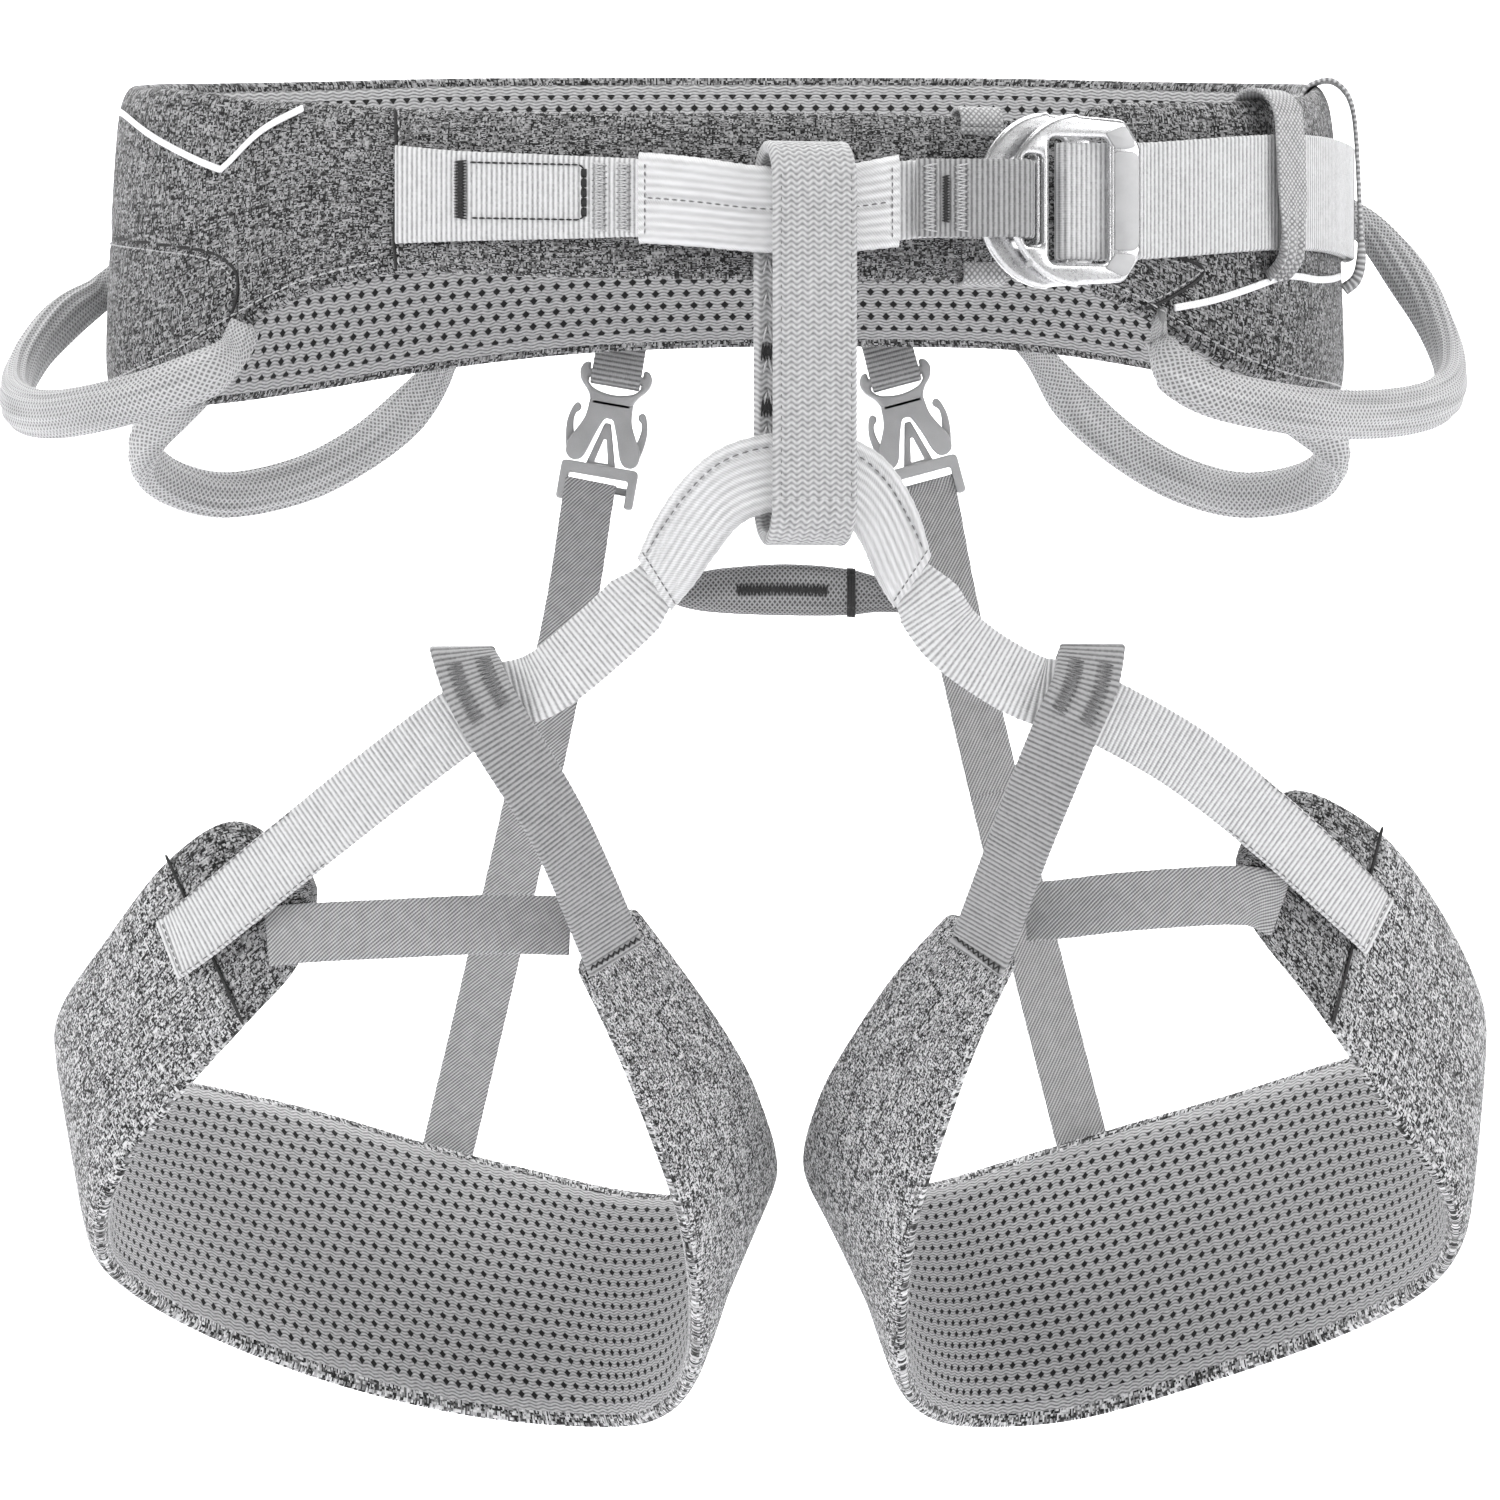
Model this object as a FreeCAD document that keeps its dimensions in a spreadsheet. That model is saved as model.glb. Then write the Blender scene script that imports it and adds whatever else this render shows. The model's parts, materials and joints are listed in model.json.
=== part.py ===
"""Climbing harness, held open as it is worn, in millimetres.

The origin is the centre of the waist opening. +X is the wearer's left, -Y is the front, +Z is up.
A padded waist belt carries four gear loops. A webbing with a tie-in sleeve closes it at a two-plate
buckle. The belay loop joins that sleeve to the bridge of the two leg loops, and straps with
side-release buckles hold the leg loops up at the back.
"""

import FreeCAD, Part
import math
import os
import Sketcher

from FreeCAD import Placement, Rotation, Vector

# Driving dimensions in mm and degrees. Each one is a cell of the sheet under the same alias.
SIZES = {
    "waist_half_width": 163.2,
    "waist_half_depth": 112.0,
    "belt_flare": 0.05,
    "belt_overlap_lift": 10.0,
    "belt_fabric": 0.8,
    "belt_foam": 6.4,
    "belt_mesh": 1.0,
    "leg_fabric": 0.8,
    "leg_foam": 5.4,
    "leg_mesh": 1.0,
    "webbing_thickness": 1.8,
    "adjust_width": 30.0,
    "adjust_thickness": 1.5,
    "leg_webbing_width": 17.5,
    "inner_webbing_width": 17.0,
    "buckle_strap_width": 20.0,
    "elastic_width": 15.5,
    "elastic_thickness": 1.4,
    "drop_strap_width": 14.5,
    "tab_width": 14.0,
    "tab_thickness": 1.2,
    "sleeve_wall": 1.3,
    "sleeve_gap": 0.5,
    "gear_core": 0.62,
    "trim_width": 2.0,
    "trim_thickness": 0.4,
    "keeper_thickness": 1.1,
    "keeper_slack": 0.5,
    "plate_thickness": 2.8,
    "plate_edge": 0.8,
    "plate_gap": 2.1,
    "front_plate_width": 37.0,
    "front_plate_height": 43.0,
    "front_plate_corner": 15.0,
    "rear_plate_width": 32.6,
    "rear_plate_height": 44.0,
    "rear_plate_corner": 14.5,
    "strap_slot_width": 4.6,
    "strap_slot_height": 23.0,
    "web_slot_height": 32.0,
    "slot_corner": 1.4,
    "belay_height": 102.4,
    "belay_depth": 23.0,
    "belay_width": 22.0,
    "belay_thickness": 3.2,
    "shell_thickness": 6.4,
    "cheek_thickness": 1.5,
    "latch_thickness": 2.8,
}

# Belt edges round the waist: angle from the front (positive to +X), top height, bottom height.
BELT_PROFILE = [
    (41, 21, -11), (32, 25, -13.5), (18, 27, -16), (0, 27, -16), (-18, 27.5, -15), (-30, 29, -13.5),
    (-41, 31.5, -18), (-50, 33, -26), (-61, 36.5, -35.5), (-75, 39, -41), (-90, 41.5, -42.5),
    (-105, 44, -43), (-120, 46, -42), (-135, 48, -37.5), (-150, 50, -31), (-165, 51, -26),
    (-180, 51.3, -24), (-195, 51, -24), (-210, 50, -25.5), (-225, 48, -31), (-240, 46, -38),
    (-255, 44, -42), (-270, 41.5, -43.5), (-285, 37, -43), (-300, 34, -42), (-309, 32, -38),
    (-316, 31, -31), (-322, 30.5, -23), (-327, 28.5, -18),
]
LIFT_START, LIFT_END = -278, -310
TONGUE_KEEPER_SPAN = (26.5, 21.5)
KEEPERS = {"side_keeper": ((-270, -274), 36, -13), "front_keeper": ((-301.5, -306.5), 31, -9.5)}
KEEPER_ROOM = 2.4

# Waist webbing from the belt's left panel to the buckle: x, y, top height, bottom height.
WAIST_WEBBING = [
    (-84, -98.5, 19, -6.4), (-68.5, -104, 17.3, -6.1), (-52, -108.6, 16.3, -6), (-35, -112.5, 15.3, -5.8),
    (-20, -117, 14.3, -5.7), (-6, -123, 12.6, -6.9), (8, -127, 10.4, -8.4), (20, -128.2, 10, -8.6),
    (32, -127.2, 10.8, -8.2), (44, -124.3, 13.2, -7), (50.5, -123.2, 13.6, -6.3), (60, -121.6, 13.8, -6),
]
WAIST_SLEEVE_SPAN = (12, 29)

# The buckle's own frame: its centre, its turn about Z, and where its bars are across it.
BUCKLE_CENTRE = Vector(84.7, -112, 3.9)
BUCKLE_TURN = 20.7
FRONT_PLATE_LEFT, REAR_PLATE_LEFT = -15.4, -21.6
STRAP_SLOT_LEFT, FRONT_WINDOW, REAR_WINDOW = -10.5, (-3.7, 12.9), (-3.7, 2.4)
REAR_PLATE_FACE = -0.2
BUCKLE_STRAP = [
    (-38.5, 0.2), (-36, 0.8), (-31, 1.8), (-26, 4.2), (-20, 6.4), (-13, 7.4), (-10.2, 6.6),
    (-8.3, 3.6), (-8.1, 0.2),
    (-8.5, -2.4), (-10.2, -4.2), (-13, -4.7), (-20, -4.6), (-26, -3.6), (-31, -3.1), (-36, -3.8),
    (-38.5, -4.2),
]
ADJUST_INNER_ANGLES = (-262, -266, -270, -275, -281, -288, -295, -302, -309, -316, -322)
ADJUST_OUTER_ANGLES = (-321, -316, -311, -307, -303, -297, -290, -283, -277, -272, -268, -264)
# Room left on each side of the rear plate's bar, and how far past its edge the fold turns.
BAR_SPACE, FOLD_INSET = (0.4, 0.3), 1.2
# Where the webbing leaves the buckle, how much it drops there, and where and how far it climbs.
ADJUST_EXIT, EXIT_DROP = (8, 14, 19), 0.3
ADJUST_CLIMB = (92, 70, 5.5)
ADJUST_CLEARANCE, ADJUST_SPACING = 1.0, 0.5

BELAY_CENTRE = Vector(20.6, -127.4, -33.1)
BELAY_TURN = 14.0

# Bridge of the leg loops, an arch through the foot of the belay loop: outer and inner edge, depth.
BRIDGE_OUTER = [
    (-21.2, -88.4), (-16.7, -79), (-9.8, -68.9), (-0.9, -61.3), (9.7, -57.8),
    (21.1, -57.2), (32, -58.6), (40.8, -64.3), (47.7, -75.2), (51.7, -87.9),
]
BRIDGE_INNER = [
    (-14.1, -99.3), (-8.6, -92.9), (-2.7, -84.8), (3.4, -77.7), (11, -74.4),
    (21.1, -73.8), (30, -75.5), (35.5, -82.3), (39.6, -91.2), (44.1, -98.5),
]
BRIDGE_DEPTH = [-118, -119, -122, -125.5, -127.4, -127.6, -126.2, -123.6, -120.6, -118]
BRIDGE_MIDDLE = (15, 0, -75)
LINK_TUBE = [
    (-17.5, -111.4, -94.6), (-8, -112, -95.6), (0, -112, -95.4), (16, -112, -95.2), (31, -112, -95.8),
    (40, -112, -96.6), (50.5, -111.4, -98.2),
]
LINK_HALF_SIZES = [(2.6, 1.8), (4.6, 2.6), (5.8, 3.0), (6.6, 3.2), (6.0, 3.0), (4.4, 2.4), (3.2, 1.8)]

# Leg loops. Each pad is a band between its upper and its lower edge, on its outer surface.
LEGS = {
    "left": {
        "upper": [
            (-105, -78, -169), (-125, -77, -154), (-145, -68, -164), (-164, -48, -186), (-178, -22, -205),
            (-177, 8, -219), (-168, 36, -225), (-150, 60, -228), (-117, 79, -236), (-79, 86, -247),
            (-46, 80, -254), (-18, 62, -258), (3, 38, -256), (15.5, 8, -248), (11, -22, -228),
            (3, -42, -212), (-9, -58, -194.5), (-23, -70, -176),
        ],
        "lower": [
            (-105, -78, -175), (-110.5, -78, -191.5), (-125, -73, -207), (-147, -61, -230),
            (-163.5, -48, -252),
            (-167.5, -26, -270), (-159.6, -6, -282), (-138, 16, -296), (-104, 36, -310), (-67, 48, -319),
            (-31, 44, -321), (-13.6, 26, -316), (-6, 6, -304), (-5, -14, -287), (-8, -34, -264),
            (-17, -52, -238), (-27, -64, -214), (-38, -72, -192),
        ],
        "webbing": [
            (-21, -117.5, -97.5), (-31.5, -114, -107.5), (-46, -111, -119), (-61, -108.5, -124.5),
            (-83, -99.5, -140), (-109.3, -87.4, -160.5), (-134.8, -74.5, -181), (-144.3, -67.8, -188),
        ],
        "webbing_faces": [
            (0, -1, 0), (-0.1, -1, 0.1), (-0.1, -1, 0.2), (0, -1, 0.1),
            (-0.1, -1, 0), (-0.3, -0.95, 0), (-0.45, -0.85, 0.05), (-0.6, -0.8, 0.1),
        ],
        "inner": [
            (-57, -100.8, -132), (-62.5, -100.4, -121), (-66.8, -107, -110.2), (-63, -114.3, -120),
            (-56.5, -114, -132), (-42, -100.8, -156.5), (-30.5, -79, -184), (-28, -74.5, -190),
        ],
        "elastic": [
            (-118, -79, -184.2), (-104.5, -82, -183), (-84, -83, -182), (-60, -80, -181),
            (-40, -74.5, -181.5),
        ],
        "drop": [
            (-38.8, 114.5, -67.5), (-44, 112, -100), (-57, 105, -161), (-76, 88.8, -243), (-79, 84.2, -254),
        ],
        "middle": (-85, 0, -240),
    },
    "right": {
        "upper": [
            (132, -78, -162), (146, -77, -146), (170, -68, -156), (187, -48, -174), (201, -22, -198),
            (202, 8, -211), (192, 36, -218.5), (174, 60, -221), (141, 79, -232), (103, 86, -243),
            (73, 80, -251), (49, 62, -256), (31, 38, -255), (19.2, 8, -247), (23, -22, -228),
            (33, -42, -209.5), (44.4, -58, -193), (58.3, -70, -178),
        ],
        "lower": [
            (132, -78, -167), (136.5, -78, -181), (157, -73, -206), (177, -60, -233), (193, -48, -255),
            (194.5, -26, -271), (185, -6, -283.5), (165, 16, -295.5), (131, 36, -309), (96, 48, -319.5),
            (66, 44, -321), (51, 26, -316), (45, 6, -305.5), (44.6, -14, -287), (47.4, -34, -264),
            (55, -52, -238), (64, -64, -214), (76, -72, -190),
        ],
        "webbing": [
            (51.2, -117.5, -97.5), (57.5, -114, -106.5), (67, -111, -114), (79, -108.5, -120.5),
            (90, -107, -123), (116.5, -96, -137), (140.3, -84.6, -155), (162.7, -74.2, -175),
            (169.8, -68.3, -182),
        ],
        "webbing_faces": [
            (0, -1, 0), (0.1, -1, 0.1), (0.1, -1, 0.2), (0, -1, 0.1), (0, -1, 0.1),
            (0.1, -1, 0), (0.3, -0.95, 0), (0.45, -0.85, 0.05), (0.6, -0.8, 0.1),
        ],
        "inner": [
            (87, -100.7, -132), (91, -100.6, -121), (94, -106.4, -109.6), (92, -112.1, -119.5),
            (87, -112, -131), (77, -100, -156.5), (67.5, -79, -184), (65, -74.5, -190),
        ],
        "elastic": [
            (143.5, -80.3, -176.6), (133, -82.6, -173.5), (105, -83, -175), (88, -79.5, -177),
            (78, -74.5, -178),
        ],
        "drop": [
            (57.8, 114.5, -67.5), (64, 112, -100), (78, 105, -161), (97, 88.8, -239), (99.8, 84.4, -250),
        ],
        "middle": (110, 0, -240),
    },
}
INNER_FACES = [
    (0, 1, 0), (0, 1, 0), (0, 0, 1), (0, -1, 0.1), (0, -1, 0.15), (0, -0.85, 0.45),
    (0, -0.85, 0.4), (0, -0.85, 0.4),
]

# Gear loops: the centre line of each tube. The ends are flatter than the rest.
GEAR_LOOPS = {
    "front_left": [
        (-127, -77, -33), (-134, -83, -39), (-146, -82, -43.5), (-160.5, -72, -47), (-176, -53, -48.5),
        (-185.5, -34, -45.5), (-187.5, -17, -39.5), (-184, -2, -30), (-177, 12, -20.5), (-168, 24, -13),
    ],
    "rear_left": [
        (-150, 62, -44), (-158, 67, -50), (-159, 74, -57), (-151, 82, -63), (-137, 90, -65.6),
        (-118, 99, -61.2), (-102, 106, -52.6), (-89, 110, -42), (-80, 108, -31),
    ],
    "front_right": [
        (112, -90, -31), (115, -97, -38), (124, -99, -44), (139, -93, -47.5), (158, -78, -49.4),
        (177, -55, -47.7), (189, -36, -43), (192, -19, -35), (189, -4, -22.5), (182, 6, -9), (173, 12, 3),
    ],
    "rear_right": [
        (156, 60, -46), (166, 65, -52), (165, 73, -59), (157, 81, -64), (142, 90, -65.6),
        (126, 99, -61), (111, 106, -52), (97.5, 110, -40), (88, 107, -28),
    ],
}
GEAR_HALF_SIZE, GEAR_END_SIZE = (6.2, 4.2), (4.4, 2.4)

# The room left under what lies on a faceted skin.
SKIN_GAP = 0.2

# Piping on the belt's side panels: angle from the front and height.
TRIMS = {
    "left": [(-84, 34), (-76, 31), (-64, 22.5), (-54.5, 15.5), (-52.6, 15.5), (-47.5, 24), (-42, 29.5)],
    "right": [
        (-278, -10.5), (-286, -12), (-294, -13), (-299, -12.8), (-303.5, -13.6), (-313, -20), (-318, -22.5),
    ],
}

# Rear side-release buckles: middle of the cradle's top, and how far the top leans towards +X.
# Their outlines are in the buckle's own frame, across and up from that middle.
REAR_BUCKLES = {"left": (Vector(-30.2, 117.6, -29), 10.0), "right": (Vector(46.4, 116.2, -29), -15.0)}
CRADLE_HALF, CRADLE_BAR = 7.6, (-1.6, -4.0)
YOKE_HALF = [(7.8, 0), (9.4, -0.6), (10.2, -2.6), (9.2, -5.6), (6.6, -8.2), (6.0, -10.6)]
CHEEK_HALF = [
    (6.0, -10.6), (6.6, -15), (8.4, -19), (10.2, -22.6), (10.2, -26), (8.8, -27.4), (6.8, -27.4),
    (4.6, -25),
    (1.2, -15.4), (0, -14.6),
]
CRESCENT = [(-7.6, -4), (7.6, -4), (7.4, -6), (4, -7.5), (0, -8), (-4, -7.5), (-7.4, -6)]
TAB_BEHIND = [(-2.6, 14), (-2.1, 9.5), (1.8, 5), (4.4, 1)]
TAB_FOLD = [(4.4, -2.8), (3.2, -4.9), (0.8, -5.2), (-0.8, -5.2), (-3.2, -4.9), (-4.4, -2.8)]
TAB_FRONT = [(-4.4, 1), (-4.4, 5), (-4.4, 14)]
# The tab's first points stand upright; past them it faces away from the bar.
TAB_UPRIGHT = 4
FRAME_HALF_WIDTH, FRAME_POST, FRAME_FOOT = 10.9, 2.6, -39
FRAME_BAR = (-30.6, -27.9)
LOCK_BAR = [(-0.8, -33.2), (1.8, -33.2), (1.8, -35.6), (-0.8, -35.6)]
GUIDE_HALF = [(4.2, -28.4), (1.0, -16.6), (0, -16)]
GUIDE_HOLE = [(-1.9, -27.4), (1.9, -27.4), (0.3, -20.4), (-0.3, -20.4)]
LATCH = [
    (6.6, -27.2), (9.4, -27.2), (11.0, -22), (11.3, -17), (10.2, -12.6), (8.8, -11.6),
    (8.2, -12.6), (9.0, -16.4),
    (8.6, -19.6), (7.4, -22.6),
]

doc = FreeCAD.newDocument("climbing_harness")
sheet = doc.addObject("Spreadsheet::Sheet", "Dims")
for row, (alias, value) in enumerate(SIZES.items(), start=1):
    sheet.set(f"A{row}", alias)
    sheet.set(f"B{row}", str(value))
    sheet.setAlias(f"B{row}", alias)
doc.recompute()
pieces = []


def size(alias):
    """A driving dimension, read back from its cell."""
    return float(getattr(sheet, alias))


# Curves and solids ----------------------------------------------------------------------------

def smooth(points, per_span):
    """A Catmull-Rom curve through the points, with per_span steps between each two of them."""
    known = [Vector(*p) for p in points]
    full = [known[0] * 2 - known[1]] + known + [known[-1] * 2 - known[-2]]
    curve = []
    for a, b, c, d in zip(full, full[1:], full[2:], full[3:]):
        for step in range(per_span):
            t = step / per_span
            linear = (c - a) * t
            square = (a * 2 - b * 5 + c * 4 - d) * t**2
            cube = (b * 3 - a - c * 3 + d) * t**3
            curve.append((b * 2 + linear + square + cube) * 0.5)
    return curve + [known[-1]]


def tangents(curve):
    """The unit direction of the curve at each of its points."""
    before = [curve[0]] + curve[:-1]
    after = curve[1:] + [curve[-1]]
    return [(b - a).normalize() for a, b in zip(before, after)]


def loft(sections):
    """A closed solid with ruled sides through the sections, each a list of corners."""
    wires = [Part.makePolygon(corners + [corners[0]]) for corners in sections]
    return Part.makeLoft(wires, True, True)


def outward(upper, lower, middle):
    """A band's unit normal at each station, on the side away from the point middle."""
    centre = [(a + b) * 0.5 for a, b in zip(upper, lower)]
    normals = [t.cross(b - a).normalize() for t, a, b in zip(tangents(centre), upper, lower)]
    half = len(centre) // 2
    if normals[half].dot(centre[half] - middle) < 0:
        normals = [n * -1 for n in normals]
    return normals


def band(upper, lower, low, high, middle=Vector(0, 0, 0)):
    """A solid between two edge curves, from low to high along the outward normal."""
    sections = []
    for a, b, n in zip(upper, lower, outward(upper, lower, middle)):
        sections.append([a + n * low, b + n * low, b + n * high, a + n * high])
    return loft(sections)


def strap(points, faces, width, thickness, per_span=3):
    """A flat strap along the points, whose outer face looks along faces."""
    centre = smooth(points, per_span)
    sections = []
    for point, along, face in zip(centre, tangents(centre), smooth(faces, per_span)):
        across = along.cross(face).normalize() * (width / 2)
        out = across.cross(along).normalize() * (thickness / 2)
        near, far = point - across, point + across
        sections.append([near - out, far - out, far + out, near + out])
    return loft(sections)


def tube(points, half_sizes, sides=10, per_span=2):
    """A tube of oval section, with its half height and its half thickness at each point."""
    centre = smooth(points, per_span)
    halves = smooth([(height, depth, 0) for height, depth in half_sizes], per_span)
    turns = [2 * math.pi * (k + 0.5) / sides for k in range(sides)]
    up = Vector(0, 0, 1)
    sections = []
    for point, along, half in zip(centre, tangents(centre), halves):
        high = (up - along * up.dot(along)).normalize()
        side = along.cross(high)
        sections.append([
            point + high * (half.x * math.cos(a)) + side * (half.y * math.sin(a)) for a in turns
        ])
    return loft(sections)


def sleeve(upper, lower, middle):
    """A flat sleeve round a webbing, given by the webbing's two edge curves."""
    gap, wall = size("sleeve_gap"), size("sleeve_wall")
    across = [(a - b).normalize() for a, b in zip(upper, lower)]
    shells = []
    for extra in (gap + wall, gap):
        reach = size("webbing_thickness") / 2 + extra
        top = [a + c * extra for a, c in zip(upper, across)]
        foot = [b - c * extra for b, c in zip(lower, across)]
        shells.append(band(top, foot, -reach, reach, middle))
    return shells[0].cut(shells[1])


def edge_on(centre, half_width, half_depth):
    """A strap that stands on edge along a plan curve, its width upright."""
    rise = Vector(0, 0, half_width)
    sections = []
    for point, along in zip(centre, tangents(centre)):
        out = Vector(along.y, -along.x, 0).normalize() * half_depth
        sections.append([point - rise - out, point + rise - out, point + rise + out, point - rise + out])
    return loft(sections)


def add_soft(label, shape):
    """Adds a free-form piece."""
    piece = doc.addObject("Part::Feature", label)
    piece.Label = label
    piece.Shape = shape
    pieces.append(piece)


def add_layers(prefix, upper, lower, middle):
    """Adds outer fabric, foam and mesh lining under a band's outer surface."""
    depth = 0
    part = prefix.split("_")[-1]
    for name, layer in (("outer_fabric", "fabric"), ("foam", "foam"), ("mesh_lining", "mesh")):
        thickness = size(f"{part}_{layer}")
        add_soft(f"{prefix}_{name}", band(upper, lower, -depth - thickness, -depth, middle))
        depth += thickness


# The waist ------------------------------------------------------------------------------------

def ease(t):
    """0 below 0, 1 above 1, and a smooth step between."""
    t = min(max(t, 0), 1)
    return t * t * (3 - 2 * t)


def belt_point(angle, height, proud=0.0):
    """A point of the belt's outer surface at an angle from the front, or proud of it."""
    turn = math.radians(angle)
    half_width = size("waist_half_width") - size("belt_flare") * height
    half_depth = size("waist_half_depth") - size("belt_flare") * height
    lift = size("belt_overlap_lift") * ease((LIFT_START - angle) / (LIFT_START - LIFT_END))
    normal = Vector(math.sin(turn) / half_width, -math.cos(turn) / half_depth, 0).normalize()
    wall = Vector(half_width * math.sin(turn), -half_depth * math.cos(turn), height)
    return wall + normal * (lift + proud)


def belt_depth():
    """The belt's whole thickness."""
    return size("belt_fabric") + size("belt_foam") + size("belt_mesh")


def make_belt():
    """The padded belt and its piping."""
    profile = smooth(BELT_PROFILE, 3)
    upper = [belt_point(p.x, p.y) for p in profile]
    lower = [belt_point(p.x, p.z) for p in profile]
    add_layers("belt", upper, lower, Vector(0, 0, 0))
    half = size("trim_width") / 2
    for side, line in TRIMS.items():
        centre = smooth([(angle, height, 0) for angle, height in line], 3)
        top = [belt_point(p.x, p.y + half) for p in centre]
        foot = [belt_point(p.x, p.y - half) for p in centre]
        add_soft(f"{side}_trim", band(top, foot, SKIN_GAP, SKIN_GAP + size("trim_thickness")))


def belt_stretch(span, top=None, foot=None, steps=4):
    """Stations (angle, top, foot) of a stretch of belt. The edges are the belt's own unless given."""
    profile = smooth(BELT_PROFILE, 12)
    stations = []
    for step in range(steps + 1):
        angle = span[0] + (span[1] - span[0]) * step / steps
        near = min(profile, key=lambda p: abs(p.x - angle))
        stations.append((angle, top or near.y, foot or near.z))
    return stations


def belt_block(stations, low, high, extra):
    """A solid over a stretch of belt from low to high of its outer surface, extra at top and foot."""
    upper = [belt_point(angle, top + extra) for angle, top, _ in stations]
    lower = [belt_point(angle, foot - extra) for angle, _, foot in stations]
    return band(upper, lower, low, high)


def make_keepers():
    """A tape ring round the belt's tongue, and two tape bridges over the adjusting webbing."""
    wall, slack = size("keeper_thickness"), size("keeper_slack")
    tongue = belt_stretch(TONGUE_KEEPER_SPAN)
    reach = slack + wall
    ring = belt_block(tongue, -belt_depth() - reach, reach, reach)
    add_soft("tongue_keeper", ring.cut(belt_block(tongue, -belt_depth() - slack, slack, slack)))
    room = ADJUST_CLEARANCE + 2 * size("adjust_thickness") + ADJUST_SPACING + KEEPER_ROOM
    for label, (span, top, foot) in KEEPERS.items():
        stations = belt_stretch(span, top, foot)
        bridge = belt_block(stations, SKIN_GAP, room + wall, wall)
        add_soft(label, bridge.cut(belt_block(stations, -wall, room, 0)))


def make_waist_webbing():
    """The webbing with the tie-in sleeve."""
    stations = smooth([(x, top, bottom) for x, _, top, bottom in WAIST_WEBBING], 3)
    depths = smooth([(y, 0, 0) for _, y, _, _ in WAIST_WEBBING], 3)
    upper = [Vector(p.x, d.x, p.y) for p, d in zip(stations, depths)]
    lower = [Vector(p.x, d.x, p.z) for p, d in zip(stations, depths)]
    half = size("webbing_thickness") / 2
    add_soft("waist_webbing", band(upper, lower, -half, half))
    covered = slice(*WAIST_SLEEVE_SPAN)
    add_soft("waist_sleeve", sleeve(upper[covered], lower[covered], Vector(0, 0, 0)))


def in_buckle(across, proud, height=0.0):
    """A point given in the buckle's own frame."""
    return BUCKLE_CENTRE + Rotation(Vector(0, 0, 1), BUCKLE_TURN).multVec(Vector(across, -proud, height))


def make_buckle_strap():
    """The strap that loops through the strap slots of both plates, back on itself."""
    centre = [in_buckle(p.x, p.y) for p in smooth([(u, w, 0) for u, w in BUCKLE_STRAP], 3)]
    add_soft("buckle_strap", edge_on(centre, size("buckle_strap_width") / 2, size("webbing_thickness") / 2))


def make_adjust_webbing():
    """The belt's webbing: along the right panel, round the rear plate's bar, and back on top."""
    half_depth = size("adjust_thickness") / 2
    inner = half_depth + ADJUST_CLEARANCE
    outer = inner + size("adjust_thickness") + ADJUST_SPACING
    under = REAR_PLATE_FACE - size("plate_thickness") - BAR_SPACE[0] - half_depth
    over = REAR_PLATE_FACE + BAR_SPACE[1] + half_depth
    middle, radius = (under + over) / 2, (over - under) / 2
    turn_at = REAR_WINDOW[1] + FOLD_INSET
    near, mid, far = ADJUST_EXIT
    half_turn = [math.pi * k / 6 for k in range(7)]
    route = [belt_point(angle, 0, inner) for angle in ADJUST_INNER_ANGLES]
    route += [in_buckle(mid, under - EXIT_DROP), in_buckle(near, under)]
    route += [in_buckle(turn_at - radius * math.sin(a), middle - radius * math.cos(a)) for a in half_turn]
    route += [in_buckle(near, over), in_buckle(mid, over), in_buckle(far, over - EXIT_DROP)]
    route += [belt_point(angle, 0, outer) for angle in ADJUST_OUTER_ANGLES]
    climb_start, climb_run, climb = ADJUST_CLIMB
    level = [Vector(p.x, p.y, BUCKLE_CENTRE.z + climb * ease((p.x - climb_start) / climb_run))
             for p in smooth(route, 2)]
    add_soft("adjust_webbing", edge_on(level, size("adjust_width") / 2, half_depth))


# Rigid pieces, as bodies ----------------------------------------------------------------------

def new_body(label):
    """An empty body with that label."""
    body = doc.addObject("PartDesign::Body", label)
    body.Label = label
    pieces.append(body)
    return body


def sketch_on(body, role):
    """A sketch on one of the body's own origin planes."""
    sketch = body.newObject("Sketcher::SketchObject", f"{body.Label}_sketch")
    plane = next(feature for feature in body.Origin.OriginFeatures if feature.Role == role)
    sketch.AttachmentSupport = (plane, "")
    sketch.MapMode = "FlatFace"
    return sketch


def amount(value):
    """The number behind a size: a plain number, or a cell's (alias, factor, offset)."""
    if isinstance(value, tuple):
        alias, factor, offset = value
        return size(alias) * factor + offset
    return value


def hold(sketch, constraint, value):
    """Adds a dimension and binds it to its cell when it comes from one."""
    index = sketch.addConstraint(constraint)
    if isinstance(value, tuple):
        alias, factor, offset = value
        sketch.setExpression(f"Constraints[{index}]", f"Dims.{alias} * {factor} + {offset}")


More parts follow.
